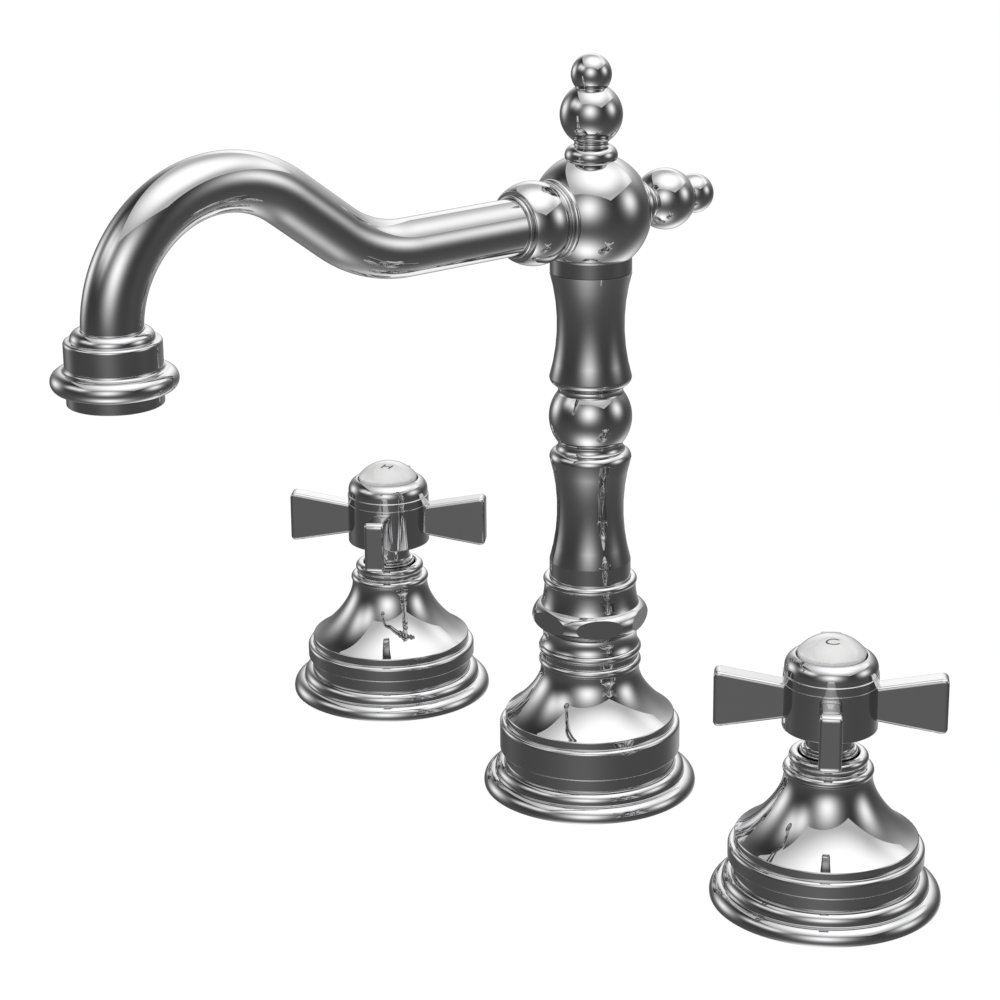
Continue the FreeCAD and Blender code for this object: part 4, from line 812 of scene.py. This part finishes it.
@dataclass
class Spout:
    """The ball union, the bent tube and the outlet of the spout; lengths from the column's axis."""

    port_r: float = 6.0
    union_foot: float = 12.0
    hub_beads: tuple[tuple[float, float, float], ...] = (
        (11.5, 1.0, 13.85), (10.9, 0.45, 15.35), (10.9, 0.55, 16.4))   # outermost radius, own radius, place
    hub_bead_groove_r: float = 10.4
    ball_r: float = 12.1
    ball_at: float = 21.7
    ball_back: float = 4.75    # from the ball's centre to the flat at its back
    ball_face: float = 6.5     # and to the flat round the tube
    tube_bead_r: float = 8.95
    tube_bead_round: float = 0.65
    tube_bead_groove_r: float = 8.5
    tube_r: float = 8.15
    tube_wall: float = 1.5
    tube_from: float = 24.0
    rise_from: float = 66.6
    rise_bend: float = 39.0
    rise_angle: float = 36.7
    crest_bend: float = 34.1
    bend_step: float = 2.0     # degrees of a bend that one ring of the tube takes
    tube_sides: int = 96

    def union(self, hub_z: float) -> None:
        """Builds the ball union: beads on the hub, a ball with flat ends and a bead round the tube.

        Args:
            hub_z: the height of the hub's centre.
        """
        groove, socket = self.hub_bead_groove_r, self.tube_r + SEAT
        edge = Outline(self.port_r, self.union_foot).line(groove, self.union_foot)
        for bead_r, bead_round, at in self.hub_beads:
            edge.bead(bead_r, at, bead_round, groove, groove)
        edge.line(groove, self.ball_at - self.ball_back)
        ends = (-self.ball_back, self.ball_face)
        first, last = (math.degrees(math.asin(reach / self.ball_r)) for reach in ends)
        edge.arc(0, self.ball_at, self.ball_r, first, last)
        bead_at = self.ball_at + self.ball_face + self.tube_bead_round
        tube_groove = self.tube_bead_groove_r
        edge.bead(self.tube_bead_r, bead_at, self.tube_bead_round, tube_groove, tube_groove)
        edge.line(socket, edge.at[1]).line(socket, self.tube_from).line(self.port_r, self.tube_from)
        plate(shift(tip(edge.turn(), 90), z=hub_z), "swing_spout", "spout_union")

    def wall(self, tube: bmesh.types.BMesh, radius: float, hub_z: float) -> list[list]:
        """Draws one wall of the tube: level, up through a bend, over the crest and straight down.

        Args:
            tube: the mesh to draw in.
            radius: the wall's radius.
            hub_z: the height of the level stretch.

        Returns:
            The edges of the wall's first and of its last ring.
        """
        reach, end = -Place.of("outlet_collar").y, Place.of("spout_tube").foot
        rise = math.radians(self.rise_angle)
        bend_y = self.rise_from + self.rise_bend * math.sin(rise)
        run = (reach - bend_y - self.crest_bend * (1 + math.sin(rise))) / math.cos(rise)
        ring = bmesh.ops.create_circle(tube, segments=self.tube_sides, radius=radius * MM)["verts"]
        bmesh.ops.rotate(tube, verts=ring, cent=(0, 0, 0), matrix=turned(90, "X"))
        bmesh.ops.translate(tube, verts=ring, vec=Vector((0, -self.tube_from, hub_z)) * MM)
        first = list({edge for vert in ring for edge in vert.link_edges})

        def straight(edges: list, way: Vector, length: float) -> list:
            """Extrudes a ring along a direction.

            Args:
                edges: the ring's edges.
                way: the direction.
                length: how far the ring goes.

            Returns:
                The edges of the new ring.
            """
            grown = bmesh.ops.extrude_edge_only(tube, edges=edges)["geom"]
            verts = picked(grown, bmesh.types.BMVert)
            bmesh.ops.translate(tube, verts=verts, vec=way * length * MM)
            return [e for e in picked(grown, bmesh.types.BMEdge) if all(v in verts for v in e.verts)]

        def bend(edges: list, y: float, z: float, angle: float) -> list:
            """Spins a ring about a centre in the spout's plane.

            Args:
                edges: the ring's edges.
                y: how far the centre lies from the column's axis.
                z: the centre's height.
                angle: the bend, degrees.

            Returns:
                The edges of the last ring.
            """
            grown = bmesh.ops.spin(tube, geom=edges, cent=Vector((0, -y, z)) * MM, axis=(1, 0, 0),
                                   angle=math.radians(angle), steps=math.ceil(abs(angle) / self.bend_step))
            return picked(grown["geom_last"], bmesh.types.BMEdge)

        level = straight(first, Vector((0, -1, 0)), self.rise_from - self.tube_from)
        risen = bend(level, self.rise_from, hub_z + self.rise_bend, -self.rise_angle)
        climb = straight(risen, Vector((0, -math.cos(rise), math.sin(rise))), run)
        crest_y = reach - self.crest_bend
        climb_z = hub_z + self.rise_bend * (1 - math.cos(rise)) + run * math.sin(rise)
        crest_z = climb_z - self.crest_bend * math.cos(rise)
        over = bend(climb, crest_y, crest_z, 90 + self.rise_angle)
        return [first, straight(over, Vector((0, 0, -1)), crest_z - end)]

    def tube(self, hub_z: float) -> None:
        """Builds the tube from its outer and inner wall, joined at both ends.

        Args:
            hub_z: the height of the hub's centre.
        """
        tube = bmesh.new()
        outer = self.wall(tube, self.tube_r, hub_z)
        inner = self.wall(tube, self.tube_r - self.tube_wall, hub_z)
        for rims in zip(outer, inner):
            bmesh.ops.bridge_loops(tube, edges=rims[0] + rims[1])
        bmesh.ops.recalc_face_normals(tube, faces=tube.faces)
        plate(tube, "swing_spout", "spout_tube")

    def build(self) -> None:
        """Builds the union and the tube."""
        hub_z = Place.of("spout_union").middle
        self.union(hub_z)
        self.tube(hub_z)


@dataclass
class Outlet:
    """The collar on the spout's end and the screwed ring of the aerator below it."""

    tube_r: float = 8.15
    tube_bore: float = 6.65
    thread_r: float = 10.9
    thread: float = 3.6
    edge: float = 0.9
    shoulder_r: float = 11.0
    shoulder_round: float = 2.4
    shoulder_rise: float = 0.2
    collar_r: float = 12.75
    ring_round: float = 2.75
    ring_drop: float = 3.7
    skirt_r: float = 12.65
    lip: float = 0.9
    mouth_r: float = 9.6

    def collar(self) -> None:
        """Builds the collar: a round shoulder on top, a plain band and the thread below."""
        at, seam = Place.of("outlet_collar"), Place.of("aerator_housing").top
        tube_foot = Place.of("spout_tube").foot
        shoulder_z = at.top - self.shoulder_round
        band_top = shoulder_z - self.shoulder_rise
        edge = Outline(self.tube_bore, at.foot).line(self.thread_r, at.foot).line(self.thread_r, seam)
        edge.line(self.collar_r, seam)
        edge.arc(self.collar_r - self.edge, band_top - self.edge, self.edge, 0, 90)
        edge.line(self.shoulder_r, band_top)
        edge.arc(self.shoulder_r - self.shoulder_round, shoulder_z, self.shoulder_round, 0, 90)
        socket = self.tube_r + SEAT
        edge.line(socket, at.top).line(socket, tube_foot).line(self.tube_bore, tube_foot)
        plate(shift(edge.turn(), at.x, at.y), "swing_spout", "outlet_collar")

    def ring(self) -> None:
        """Builds the aerator's ring: a big bead that runs up into the collar, a skirt and a lip."""
        at = Place.of("aerator_housing")
        bead_z, bore = at.top - self.ring_drop, self.thread_r + SEAT
        centre = at.radius - self.ring_round
        inset, rise = self.collar_r - centre, at.top - bead_z
        cove = cove_radius(inset, rise, self.ring_round)
        turn = math.degrees(math.atan2(rise, inset + cove))
        low = math.degrees(math.acos((self.skirt_r - centre) / self.ring_round))
        edge = Outline(self.mouth_r, at.foot).line(self.skirt_r, at.foot)
        edge.arc(centre, bead_z, self.ring_round, -low, turn)
        edge.arc(self.collar_r + cove, at.top, cove, FULL / 2 + turn, FULL / 2)
        edge.line(bore, at.top).line(bore, at.foot + self.lip).line(self.mouth_r, at.foot + self.lip)
        plate(shift(edge.turn(), at.x, at.y), "swing_spout", "aerator_housing", "aerator_ring")

    def build(self) -> None:
        """Builds the two pieces."""
        self.collar()
        self.ring()


class Side(Enum):
    """The two valves, by the water that they let in."""

    HOT = "hot"
    COLD = "cold"


@dataclass
class CrossHandle:
    """A cross handle: a stem, a drum and four paddles, with a domed cap and a porcelain button."""

    side: Side
    spindle_r: float = 4.3
    stem_r: float = 6.6
    stem_beads: tuple[tuple[float, float], ...] = ((8.1, 0.45), (7.75, 0.4))
    stem_length: float = 7.55
    socket_deep: float = 14.25
    drum_r: float = 13.2
    drum_edge: float = 0.4
    thread_r: float = 11.0
    well_r: float = 4.2
    web: float = 3.0
    arm_rise: float = 7.75
    arm_thick: float = 6.2
    arm_tip: float = 32.05
    arm_root_half: float = 5.1
    arm_tip_half: float = 8.4
    arm_sunk: float = 0.6
    arm_corner: float = 1.9
    arm_corner_steps: int = 6
    arm_edge: float = 0.9
    arm_edge_steps: int = 4
    arm_turn: float = 45.0
    arm_face: float = 4.0      # a face of more square millimetres than this is one of a paddle's flat sides
    arm_border: float = 0.12
    cap_band: float = 2.6
    cap_step: float = 0.3
    cap_round: float = 3.9
    cap_round_rise: float = 1.4
    cap_lip: float = 0.4
    button_r: float = 9.4
    button_gap: float = 0.35   # round the button, in the cap's opening
    button_flange_r: float = 10.6
    button_flange: float = 1.6
    button_wall: float = 3.9

    def node(self, name: str) -> str:
        """The name of one of this valve's nodes."""
        return self.side.value + "_" + name

    @property
    def body(self) -> str:
        """The body that turns with this handle."""
        return self.node("control")

    @staticmethod
    def round_off(mesh: bmesh.types.BMesh, edges: list, radius: float, steps: int) -> None:
        """Rounds edges of a mesh to a radius in millimetres."""
        bmesh.ops.bevel(mesh, geom=edges, offset=radius * MM, offset_type="OFFSET", segments=steps,
                        profile=0.5, affect="EDGES", material=-1)

    def arms(self, drum_foot: float) -> bpy.types.Mesh:
        """The four paddles, taller at their tips than at the drum.

        Args:
            drum_foot: the height of the drum's foot.

        Returns:
            A mesh of the four, about the handle's axis.
        """
        arm = bmesh.new()
        bmesh.ops.create_cube(arm, size=1.0)
        start = self.drum_r - self.arm_sunk
        slope = (self.arm_tip_half - self.arm_root_half) / (self.arm_tip - self.drum_r)
        for vert in arm.verts:
            reach = self.arm_tip if vert.co.x > 0 else start
            half = self.arm_tip_half - slope * (self.arm_tip - reach)
            height = drum_foot + self.arm_rise + 2 * vert.co.z * half
            vert.co = Vector((reach, vert.co.y * self.arm_thick, height)) * MM
        tips = [e for e in arm.edges if all(v.co.x > (self.arm_tip - TINY) * MM for v in e.verts)
                and abs(e.verts[0].co.z - e.verts[1].co.z) < TINY * MM]
        self.round_off(arm, tips, self.arm_corner, self.arm_corner_steps)
        sides = [e for e in arm.edges if abs(e.verts[0].co.y - e.verts[1].co.y) < TINY * MM
                 and max(v.co.x for v in e.verts) > (start + TINY) * MM]
        self.round_off(arm, sides, self.arm_edge, self.arm_edge_steps)
        flats = [face for face in arm.faces if face.calc_area() > self.arm_face * MM ** 2]
        bmesh.ops.inset_individual(arm, faces=flats, thickness=self.arm_border * MM, depth=0.0)
        tip(arm, self.arm_turn, "Z")
        bmesh.ops.spin(arm, geom=arm.verts[:] + arm.edges[:] + arm.faces[:], cent=(0, 0, 0), axis=(0, 0, 1),
                       angle=math.tau * 3 / 4, steps=3, use_duplicate=True)
        bmesh.ops.recalc_face_normals(arm, faces=arm.faces)
        four = bpy.data.meshes.new("arms")
        arm.to_mesh(four)
        arm.free()
        return four

    def handle(self) -> None:
        """Builds the stem, the drum and the paddles."""
        at, cap = Place.of(self.node("handle")), Place.of(self.node("index_cap"))
        drum_foot, socket_top = at.foot + self.stem_length, at.foot + self.socket_deep
        edge = Outline(0, socket_top).line(self.spindle_r, socket_top).line(self.spindle_r, at.foot)
        for bead_r, bead_round in self.stem_beads:
            root = bead_r - bead_round
            edge.bead(bead_r, edge.at[1] + bead_round, bead_round, root, root)
        cove = root - self.stem_r
        edge.arc(root, edge.at[1] + cove, cove, -90, -180).line(self.stem_r, drum_foot)
        edge.arc(self.drum_r - self.drum_edge, drum_foot + self.drum_edge, self.drum_edge, -90, 0)
        edge.line(self.drum_r, cap.foot).line(self.thread_r, cap.foot)
        thread_top = Place.of(self.node("index_button")).foot
        edge.line(self.thread_r, thread_top).line(self.well_r, thread_top)
        edge.line(self.well_r, socket_top + self.web).line(0, socket_top + self.web)
        whole = edge.turn()
        whole.from_mesh(self.arms(drum_foot))
        plate(shift(whole, at.x, at.y), self.body, self.node("handle"))

    def cap(self) -> None:
        """Builds the domed ring that holds the button."""
        at = Place.of(self.node("index_cap"))
        opening, thread = self.button_r + self.button_gap, self.thread_r + SEAT
        dome_r, band_top = self.drum_r - self.cap_step, at.foot + self.cap_band
        centre, dome_z = dome_r - self.cap_round, band_top + self.cap_round_rise
        lip_r = opening + self.cap_lip
        lip_rise = math.sqrt((self.cap_round - self.cap_lip) ** 2 - (lip_r - centre) ** 2)
        meet = math.degrees(math.atan2(lip_rise, lip_r - centre))
        ledge = Place.of(self.node("index_button")).foot + self.button_flange
        edge = Outline(thread, at.foot).line(self.drum_r, at.foot).line(self.drum_r, band_top)
        edge.line(dome_r, band_top).arc(centre, dome_z, self.cap_round, 0, meet)
        edge.arc(lip_r, dome_z + lip_rise, self.cap_lip, meet, FULL / 2)
        edge.line(opening, ledge).line(thread, ledge)
        plate(shift(edge.turn(), at.x, at.y), self.body, self.node("index_cap"))

    def dome(self) -> tuple[float, float]:
        """The dome of the button.

        Returns:
            The height of its centre and its radius.
        """
        at = Place.of(self.node("index_button"))
        rise = at.top - at.foot - self.button_flange - self.button_wall
        radius = (self.button_r ** 2 + rise ** 2) / (2 * rise)
        return at.top - radius, radius

    def button(self) -> None:
        """Builds the porcelain button."""
        at = Place.of(self.node("index_button"))
        ledge = at.foot + self.button_flange
        centre, radius = self.dome()
        first = math.degrees(math.asin((ledge + self.button_wall - centre) / radius))
        edge = Outline(0, at.foot).line(self.button_flange_r, at.foot).line(self.button_flange_r, ledge)
        edge.line(self.button_r, ledge).arc(0, centre, radius, first, 90)
        add_piece(self.node("index_button_glazed"), shift(edge.turn(), at.x, at.y), PORCELAIN, self.body,
                  self.node("index_button"))

    def build(self) -> None:
        """Builds the handle, its cap, its button and the mark on it."""
        self.handle()
        self.cap()
        self.button()
        if self.side is Side.HOT:
            IndexMark(self, tall=3.6, wide=3.1, lean=-22.0).build()
        else:
            IndexMark(self, tall=4.6, wide=4.4, lean=0.0).build()


@dataclass
class IndexMark:
    """The plain letter on a button that tells hot from cold."""

    handle: CrossHandle
    tall: float
    wide: float
    lean: float                # of the letter on the dome, degrees
    squat: float = 0.55        # share of its height that the letter keeps on the dome's slope
    stroke: float = 0.5
    bar_cells: tuple[int, int] = (2, 12)   # faces across a straight stroke and along it
    raised: float = 0.05
    gap: float = 40.0          # half the opening of the round letter, degrees
    steps: int = 36
    down: float = 3.6          # from the dome's crown to the letter, towards the reader
    reader: float = 51.0       # the reader's place round the handle, degrees from the front

    def bar(self, mesh: bmesh.types.BMesh, x: float, length: float, across: bool) -> None:
        """Adds one straight stroke of a letter, in millimetres.

        Args:
            mesh: the letter's mesh.
            x: the stroke's offset to the right.
            length: its length.
            across: whether it lies across the letter.
        """
        over, along = self.bar_cells
        grown = bmesh.ops.create_grid(mesh, x_segments=over, y_segments=along, size=0.5)["verts"]
        bmesh.ops.scale(mesh, verts=grown, vec=(self.stroke, length, 1))
        if across:
            bmesh.ops.rotate(mesh, verts=grown, cent=(0, 0, 0), matrix=turned(90, "Z"))
        bmesh.ops.translate(mesh, verts=grown, vec=(x, 0, 0))

    def letter(self) -> bmesh.types.BMesh:
        """The letter, flat about the origin and in millimetres.

        Returns:
            A mesh of its strokes.
        """
        mesh = bmesh.new()
        if self.handle.side is Side.HOT:
            side = (self.wide - self.stroke) / 2
            for x in (-side, side):
                self.bar(mesh, x, self.tall, False)
            self.bar(mesh, 0, self.wide - 2 * self.stroke, True)
            return mesh
        outer = self.tall / 2
        ends = [mesh.verts.new((r, 0, 0)) for r in (outer - self.stroke, outer - self.stroke / 2, outer)]
        edges = [mesh.edges.new(pair) for pair in zip(ends, ends[1:])]
        bmesh.ops.rotate(mesh, verts=ends, cent=(0, 0, 0), matrix=turned(self.gap, "Z"))
        bmesh.ops.spin(mesh, geom=ends + edges, cent=(0, 0, 0), axis=(0, 0, 1), steps=self.steps,
                       angle=math.radians(FULL - 2 * self.gap))
        bmesh.ops.scale(mesh, verts=mesh.verts, vec=(self.wide / self.tall, 1, 1))
        return mesh

    def build(self) -> None:
        """Lays the letter on the dome's slope towards the reader and gives it its thickness."""
        at = Place.of(self.handle.node("index_button"))
        centre, radius = self.handle.dome()
        mesh = tip(self.letter(), self.lean, "Z")
        bmesh.ops.scale(mesh, verts=mesh.verts, vec=(1, self.squat, 1))
        for vert in mesh.verts:
            vert.co.z = math.sqrt(radius ** 2 - vert.co.xy.length_squared)
        tip(mesh, math.degrees(math.asin(self.down / radius)))
        tip(mesh, self.reader, "Z")
        bmesh.ops.scale(mesh, verts=mesh.verts, vec=(MM, MM, MM))
        bmesh.ops.recalc_face_normals(mesh, faces=mesh.faces)
        bmesh.ops.reverse_faces(mesh, faces=[f for f in mesh.faces if f.normal.z < 0])
        bmesh.ops.solidify(mesh, geom=mesh.faces[:], thickness=-self.raised * MM)
        name = self.handle.node("index_mark")
        add_piece(name, shift(mesh, at.x, at.y, centre), ENAMEL, self.handle.body)


@dataclass(frozen=True)
class Glow:
    """A soft round light on the tent's wall, by its direction from the faucet, in degrees."""

    azimuth: float             # from the camera's side, to its right
    elevation: float
    spread: float              # from its middle to where three fifths of it are left
    strength: float


@dataclass(frozen=True)
class Pool:
    """A bright patch on the softbox; lengths are shares of the softbox's height."""

    front: float               # its middle, from over the faucet towards the camera
    right: float
    even: float                # radius of its even middle
    faded: float               # radius at which it has faded out
    strength: float


@dataclass
class Studio:
    """A pale floor, soft light, a tent that the metal mirrors, and the camera."""

    camera_azimuth: float = 51.408
    camera_elevation: float = 18.445
    camera_distance: float = 845.238
    camera_roll: float = -0.455
    camera_lens: float = 101.903
    camera_sensor: float = 36.0
    camera_clip: tuple[float, float] = (0.01, 50.0)   # the nearest and the furthest that it sees, metres
    aim: tuple[float, float, float] = (-26.922, 10.245, 80.0)   # right, up and height of the aim point
    tent_r: float = 20000.0
    tent_sides: tuple[int, int] = (96, 48)   # round it and from pole to pole
    tent_low: tuple[float, float] = (-0.6, 0.112)   # a height on the unit tent and its grey
    tent_high: tuple[float, float] = (0.6, 0.026)
    glows: tuple[Glow, ...] = (
        Glow(-6.5, 21.5, 15.6, 1.55),
        Glow(83.3, 17.8, 10.8, 1.36),
        Glow(-122.0, 7.7, 11.5, 1.33),
        Glow(-87.0, 34.0, 8.2, 1.08),
        Glow(-62.0, 36.0, 9.0, 1.22),
        Glow(150.0, 45.0, 18.0, 1.6),
        Glow(180.0, 18.0, 14.0, 1.15),
        Glow(-16.0, -65.0, 15.2, 1.6),
        Glow(157.0, -49.0, 15.2, 1.3),
    )
    softbox_z: float = 6000.0
    softbox_corners: tuple[tuple[float, float], ...] = (
        (1.25, 1.11), (-1.1, 1.6), (-1.6, -0.5), (0.75, -0.83))   # front and right, as shares of its height
    softbox_level: float = 0.71
    pools: tuple[Pool, ...] = (Pool(0.1, 0.2, 0.2, 0.98, 1.05), Pool(-0.73, 1.0, 0.0, 1.0, 0.85))
    floor_half: float = 6000.0
    floor_drop: float = 0.1    # the floor lies this far under the flanges, so that the two don't mix
    floor_shade: float = 0.9
    floor_white: float = 1.12  # what the floor shows the camera by itself
    floor_share: float = 0.8   # and its share beside the matt floor, which keeps the shadow
    fill: float = 0.60         # the world's light on what isn't mirrored
    key_watts: float = 4.0
    key_size: float = 0.9      # metres across
    key_far: float = 1.3       # metres from the faucet
    key_azimuth: float = -30.0
    key_elevation: float = 60.0

    def axes(self) -> tuple[Vector, Vector]:
        """The level directions of the camera's side.

        Returns:
            Towards the camera, and to its right.
        """
        a = math.radians(self.camera_azimuth)
        return Vector((math.sin(a), -math.cos(a), 0)), Vector((math.cos(a), math.sin(a), 0))

    def way(self, azimuth: float, elevation: float) -> Vector:
        """The direction at an azimuth and an elevation.

        Args:
            azimuth: from the camera's side to its right, degrees.
            elevation: above the level, degrees.

        Returns:
            The unit direction from the faucet.
        """
        front, right = self.axes()
        a, e = math.radians(azimuth), math.radians(elevation)
        return (front * math.cos(a) + right * math.sin(a)) * math.cos(e) + Vector((0, 0, math.sin(e)))

    def camera(self) -> None:
        """Sets the camera at the photograph's viewing angle."""
        back = self.way(0, self.camera_elevation)
        level = self.axes()[1]
        upright = back.cross(level)
        r = math.radians(self.camera_roll)
        right = level * math.cos(r) + upright * math.sin(r)
        up = upright * math.cos(r) - level * math.sin(r)
        aim_right, aim_up, aim_z = self.aim
        spot = Vector((0, 0, aim_z)) + right * aim_right + up * aim_up + back * self.camera_distance
        data = bpy.data.cameras.new("camera")
        data.lens, data.sensor_width, data.sensor_fit = self.camera_lens, self.camera_sensor, "HORIZONTAL"
        data.clip_start, data.clip_end = self.camera_clip
        eye = bpy.data.objects.new("camera", data)
        turn = Matrix((right, up, back)).transposed().to_4x4()
        eye.matrix_world = Matrix.Translation(spot * MM) @ turn
        bpy.context.scene.collection.objects.link(eye)
        bpy.context.scene.camera = eye

    def put(self, name: str, mesh: bmesh.types.BMesh, material: bpy.types.Material) -> bpy.types.Object:
        """Adds a piece of the stage.

        Args:
            name: the object's name.
            mesh: its shape; it is used up.
            material: what it is made of.

        Returns:
            The new object.
        """
        obj = new_object(name, mesh, material)
        return obj

    def seen(self, tree: bpy.types.NodeTree) -> bpy.types.NodeSocket:
        """Whether a ray comes from the camera, a mirror or glass.

        Args:
            tree: the tree that asks.

        Returns:
            A socket that is 1 for such a ray.
        """
        path = add_node(tree, "ShaderNodeLightPath", {})
        either = add_node(tree, "ShaderNodeMath", {
            "operation": "MAXIMUM", 0: path.outputs["Is Camera Ray"], 1: path.outputs["Is Glossy Ray"]})
        return add_node(tree, "ShaderNodeMath", {
            "operation": "MAXIMUM", 0: either.outputs[0], 1: path.outputs["Is Transmission Ray"]}).outputs[0]

    def world(self) -> None:
        """Makes the world white to look at and a soft even fill on the faucet."""
        world = bpy.data.worlds.new("studio")
        world.use_nodes = True
        tree = world.node_tree
        tree.nodes.clear()
        level = add_node(tree, "ShaderNodeMapRange", {
            "Value": self.seen(tree), "To Min": self.fill, "To Max": 1.0})
        glow = add_node(tree, "ShaderNodeBackground", {
            "Color": (1, 1, 1, 1), "Strength": level.outputs["Result"]})
        add_node(tree, "ShaderNodeOutputWorld", {"Surface": glow.outputs["Background"]})
        bpy.context.scene.world = world

    def floor(self) -> None:
        """Lays the pale floor, which is the white background and keeps a faint shadow."""
        made = blank_material("white_floor")
        tree = made.node_tree
        matt = add_node(tree, "ShaderNodeBsdfDiffuse", {"Color": (*[self.floor_shade] * 3, 1)})
        white = add_node(tree, "ShaderNodeEmission", {"Color": (1, 1, 1, 1), "Strength": self.floor_white})
        share = add_node(tree, "ShaderNodeMath", {
            "operation": "MULTIPLY", 0: self.seen(tree), 1: self.floor_share})
        both = add_node(tree, "ShaderNodeMixShader", {
            0: share.outputs[0], 1: matt.outputs[0], 2: white.outputs[0]})
        add_node(tree, "ShaderNodeOutputMaterial", {"Surface": both.outputs[0]})
        mesh = bmesh.new()
        bmesh.ops.create_grid(mesh, x_segments=1, y_segments=1, size=self.floor_half * MM)
        obj = self.put("floor", shift(mesh, z=-self.floor_drop), made)
        obj.visible_glossy = False

    def tent(self) -> None:
        """Hangs the grey tent round the faucet, with soft lights on its wall."""
        made = blank_material("grey_tent")
        tree = made.node_tree
        place = add_node(tree, "ShaderNodeTexCoord", {})
        way = add_node(tree, "ShaderNodeVectorMath", {"operation": "NORMALIZE", 0: place.outputs["Object"]})
        split = add_node(tree, "ShaderNodeSeparateXYZ", {0: way.outputs["Vector"]})
        (low, low_grey), (high, high_grey) = self.tent_low, self.tent_high
        level = add_node(tree, "ShaderNodeMapRange", {
            "Value": split.outputs["Z"], "From Min": low, "From Max": high,
            "To Min": low_grey, "To Max": high_grey}).outputs["Result"]
        for glow in self.glows:
            tight = math.radians(glow.spread) ** -2
            near = add_node(tree, "ShaderNodeVectorMath", {
                "operation": "DOT_PRODUCT", 0: way.outputs["Vector"],
                1: self.way(glow.azimuth, glow.elevation)})
            fall = add_node(tree, "ShaderNodeMath", {
                "operation": "MULTIPLY_ADD", 0: near.outputs["Value"], 1: tight, 2: -tight})
            bell = add_node(tree, "ShaderNodeMath", {"operation": "EXPONENT", 0: fall.outputs[0]})
            level = add_node(tree, "ShaderNodeMath", {
                "operation": "MULTIPLY_ADD", 0: bell.outputs[0], 1: glow.strength, 2: level}).outputs[0]
        mesh = bmesh.new()
        around, upright = self.tent_sides
        bmesh.ops.create_uvsphere(mesh, u_segments=around, v_segments=upright, radius=self.tent_r * MM)
        self.hang("tent", mesh, made, level)

    def softbox(self) -> None:
        """Hangs the large softbox overhead, brightest in its pools."""
        made = blank_material("softbox")
        tree = made.node_tree
        place = add_node(tree, "ShaderNodeTexCoord", {})
        level = self.softbox_level
        for pool in self.pools:
            away = add_node(tree, "ShaderNodeVectorMath", {
                "operation": "DISTANCE", 0: place.outputs["Object"],
                1: self.overhead(pool.front, pool.right)})
            share = add_node(tree, "ShaderNodeMapRange", {
                "interpolation_type": "SMOOTHSTEP", "Value": away.outputs["Value"],
                "From Min": pool.even * self.softbox_z * MM, "From Max": pool.faded * self.softbox_z * MM,
                "To Min": pool.strength, "To Max": 0.0})
            level = add_node(tree, "ShaderNodeMath", {
                "operation": "ADD", 0: share.outputs["Result"], 1: level}).outputs[0]
        mesh = bmesh.new()
        ring = [mesh.verts.new(self.overhead(*corner)) for corner in self.softbox_corners]
        bmesh.ops.contextual_create(mesh, geom=ring)
        self.hang("softbox", mesh, made, level)

    def overhead(self, front: float, right: float) -> Vector:
        """A place on the softbox's face, in metres, by shares of its height to the front and right."""
        ahead, aside = self.axes()
        return (ahead * front + aside * right + Vector((0, 0, 1))) * self.softbox_z * MM

    def hang(self, name: str, mesh: bmesh.types.BMesh, made: bpy.types.Material,
             level: bpy.types.NodeSocket) -> None:
        """Adds a lit piece of the stage that only mirrors see.

        Args:
            name: the object's name.
            mesh: its shape; it is used up.
            made: its material, which still lacks its light.
            level: the light's strength.
        """
        light = add_node(made.node_tree, "ShaderNodeEmission", {"Color": (1, 1, 1, 1), "Strength": level})
        add_node(made.node_tree, "ShaderNodeOutputMaterial", {"Surface": light.outputs[0]})
        made.cycles.emission_sampling = "NONE"
        obj = self.put(name, mesh, made)
        obj.visible_camera = False
        obj.visible_diffuse = False
        obj.visible_shadow = False

    def key(self) -> None:
        """Adds one large soft lamp above the camera's left, for the shape of what isn't mirrored."""
        data = bpy.data.lights.new("key", "AREA")
        data.shape, data.size, data.energy = "DISK", self.key_size, self.key_watts
        lamp = bpy.data.objects.new("key", data)
        spot = self.way(self.key_azimuth, self.key_elevation) * self.key_far
        lamp.matrix_world = Matrix.Translation(spot) @ spot.to_track_quat("Z", "Y").to_matrix().to_4x4()
        lamp.visible_glossy = False
        bpy.context.scene.collection.objects.link(lamp)

    def build(self) -> None:
        """Sets up the floor, the light and the camera."""
        bpy.context.scene.view_settings.view_transform = "Standard"
        self.world()
        self.floor()
        self.tent()
        self.softbox()
        self.key()
        self.camera()


def dress_nodes() -> None:
    """Gives every node the finish of its slot; the deck hides what is under it from mirrors."""
    for part in frame["record"]["subparts"]:
        node = frame["nodes"][part["node"]]
        node.data.materials.clear()
        node.data.materials.append(FINISHES[part["material_slot"]].material())
        node.visible_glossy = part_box(part["node"])[0].z > 0


def main() -> None:
    """Builds the faucet's pieces in order, then the studio."""
    logging.basicConfig(level=logging.INFO, format="%(name)s: %(message)s")
    dress_nodes()
    SpoutBell("spout_bell", drum=9.4, skirt=14.5, slope=34.0, skirt_pull=5.0, neck_r=14.9, neck_pull=5.1,
              bore=12.05).build()
    DeckFlange("spout_flange").build()
    UnionNut().build()
    Column().build()
    SpoutHub().build()
    Spout().build()
    Outlet().build()
    for side in Side:
        DeckFlange(side.value + "_flange").build()
        ValveBell(side.value + "_bell", drum=4.9, skirt=18.1, slope=29.0, skirt_pull=6.9, neck_r=12.3,
                  neck_pull=5.9, bore=8.4).build()
        CrossHandle(side).build()
    Studio().build()


if __name__ == "__main__":
    main()
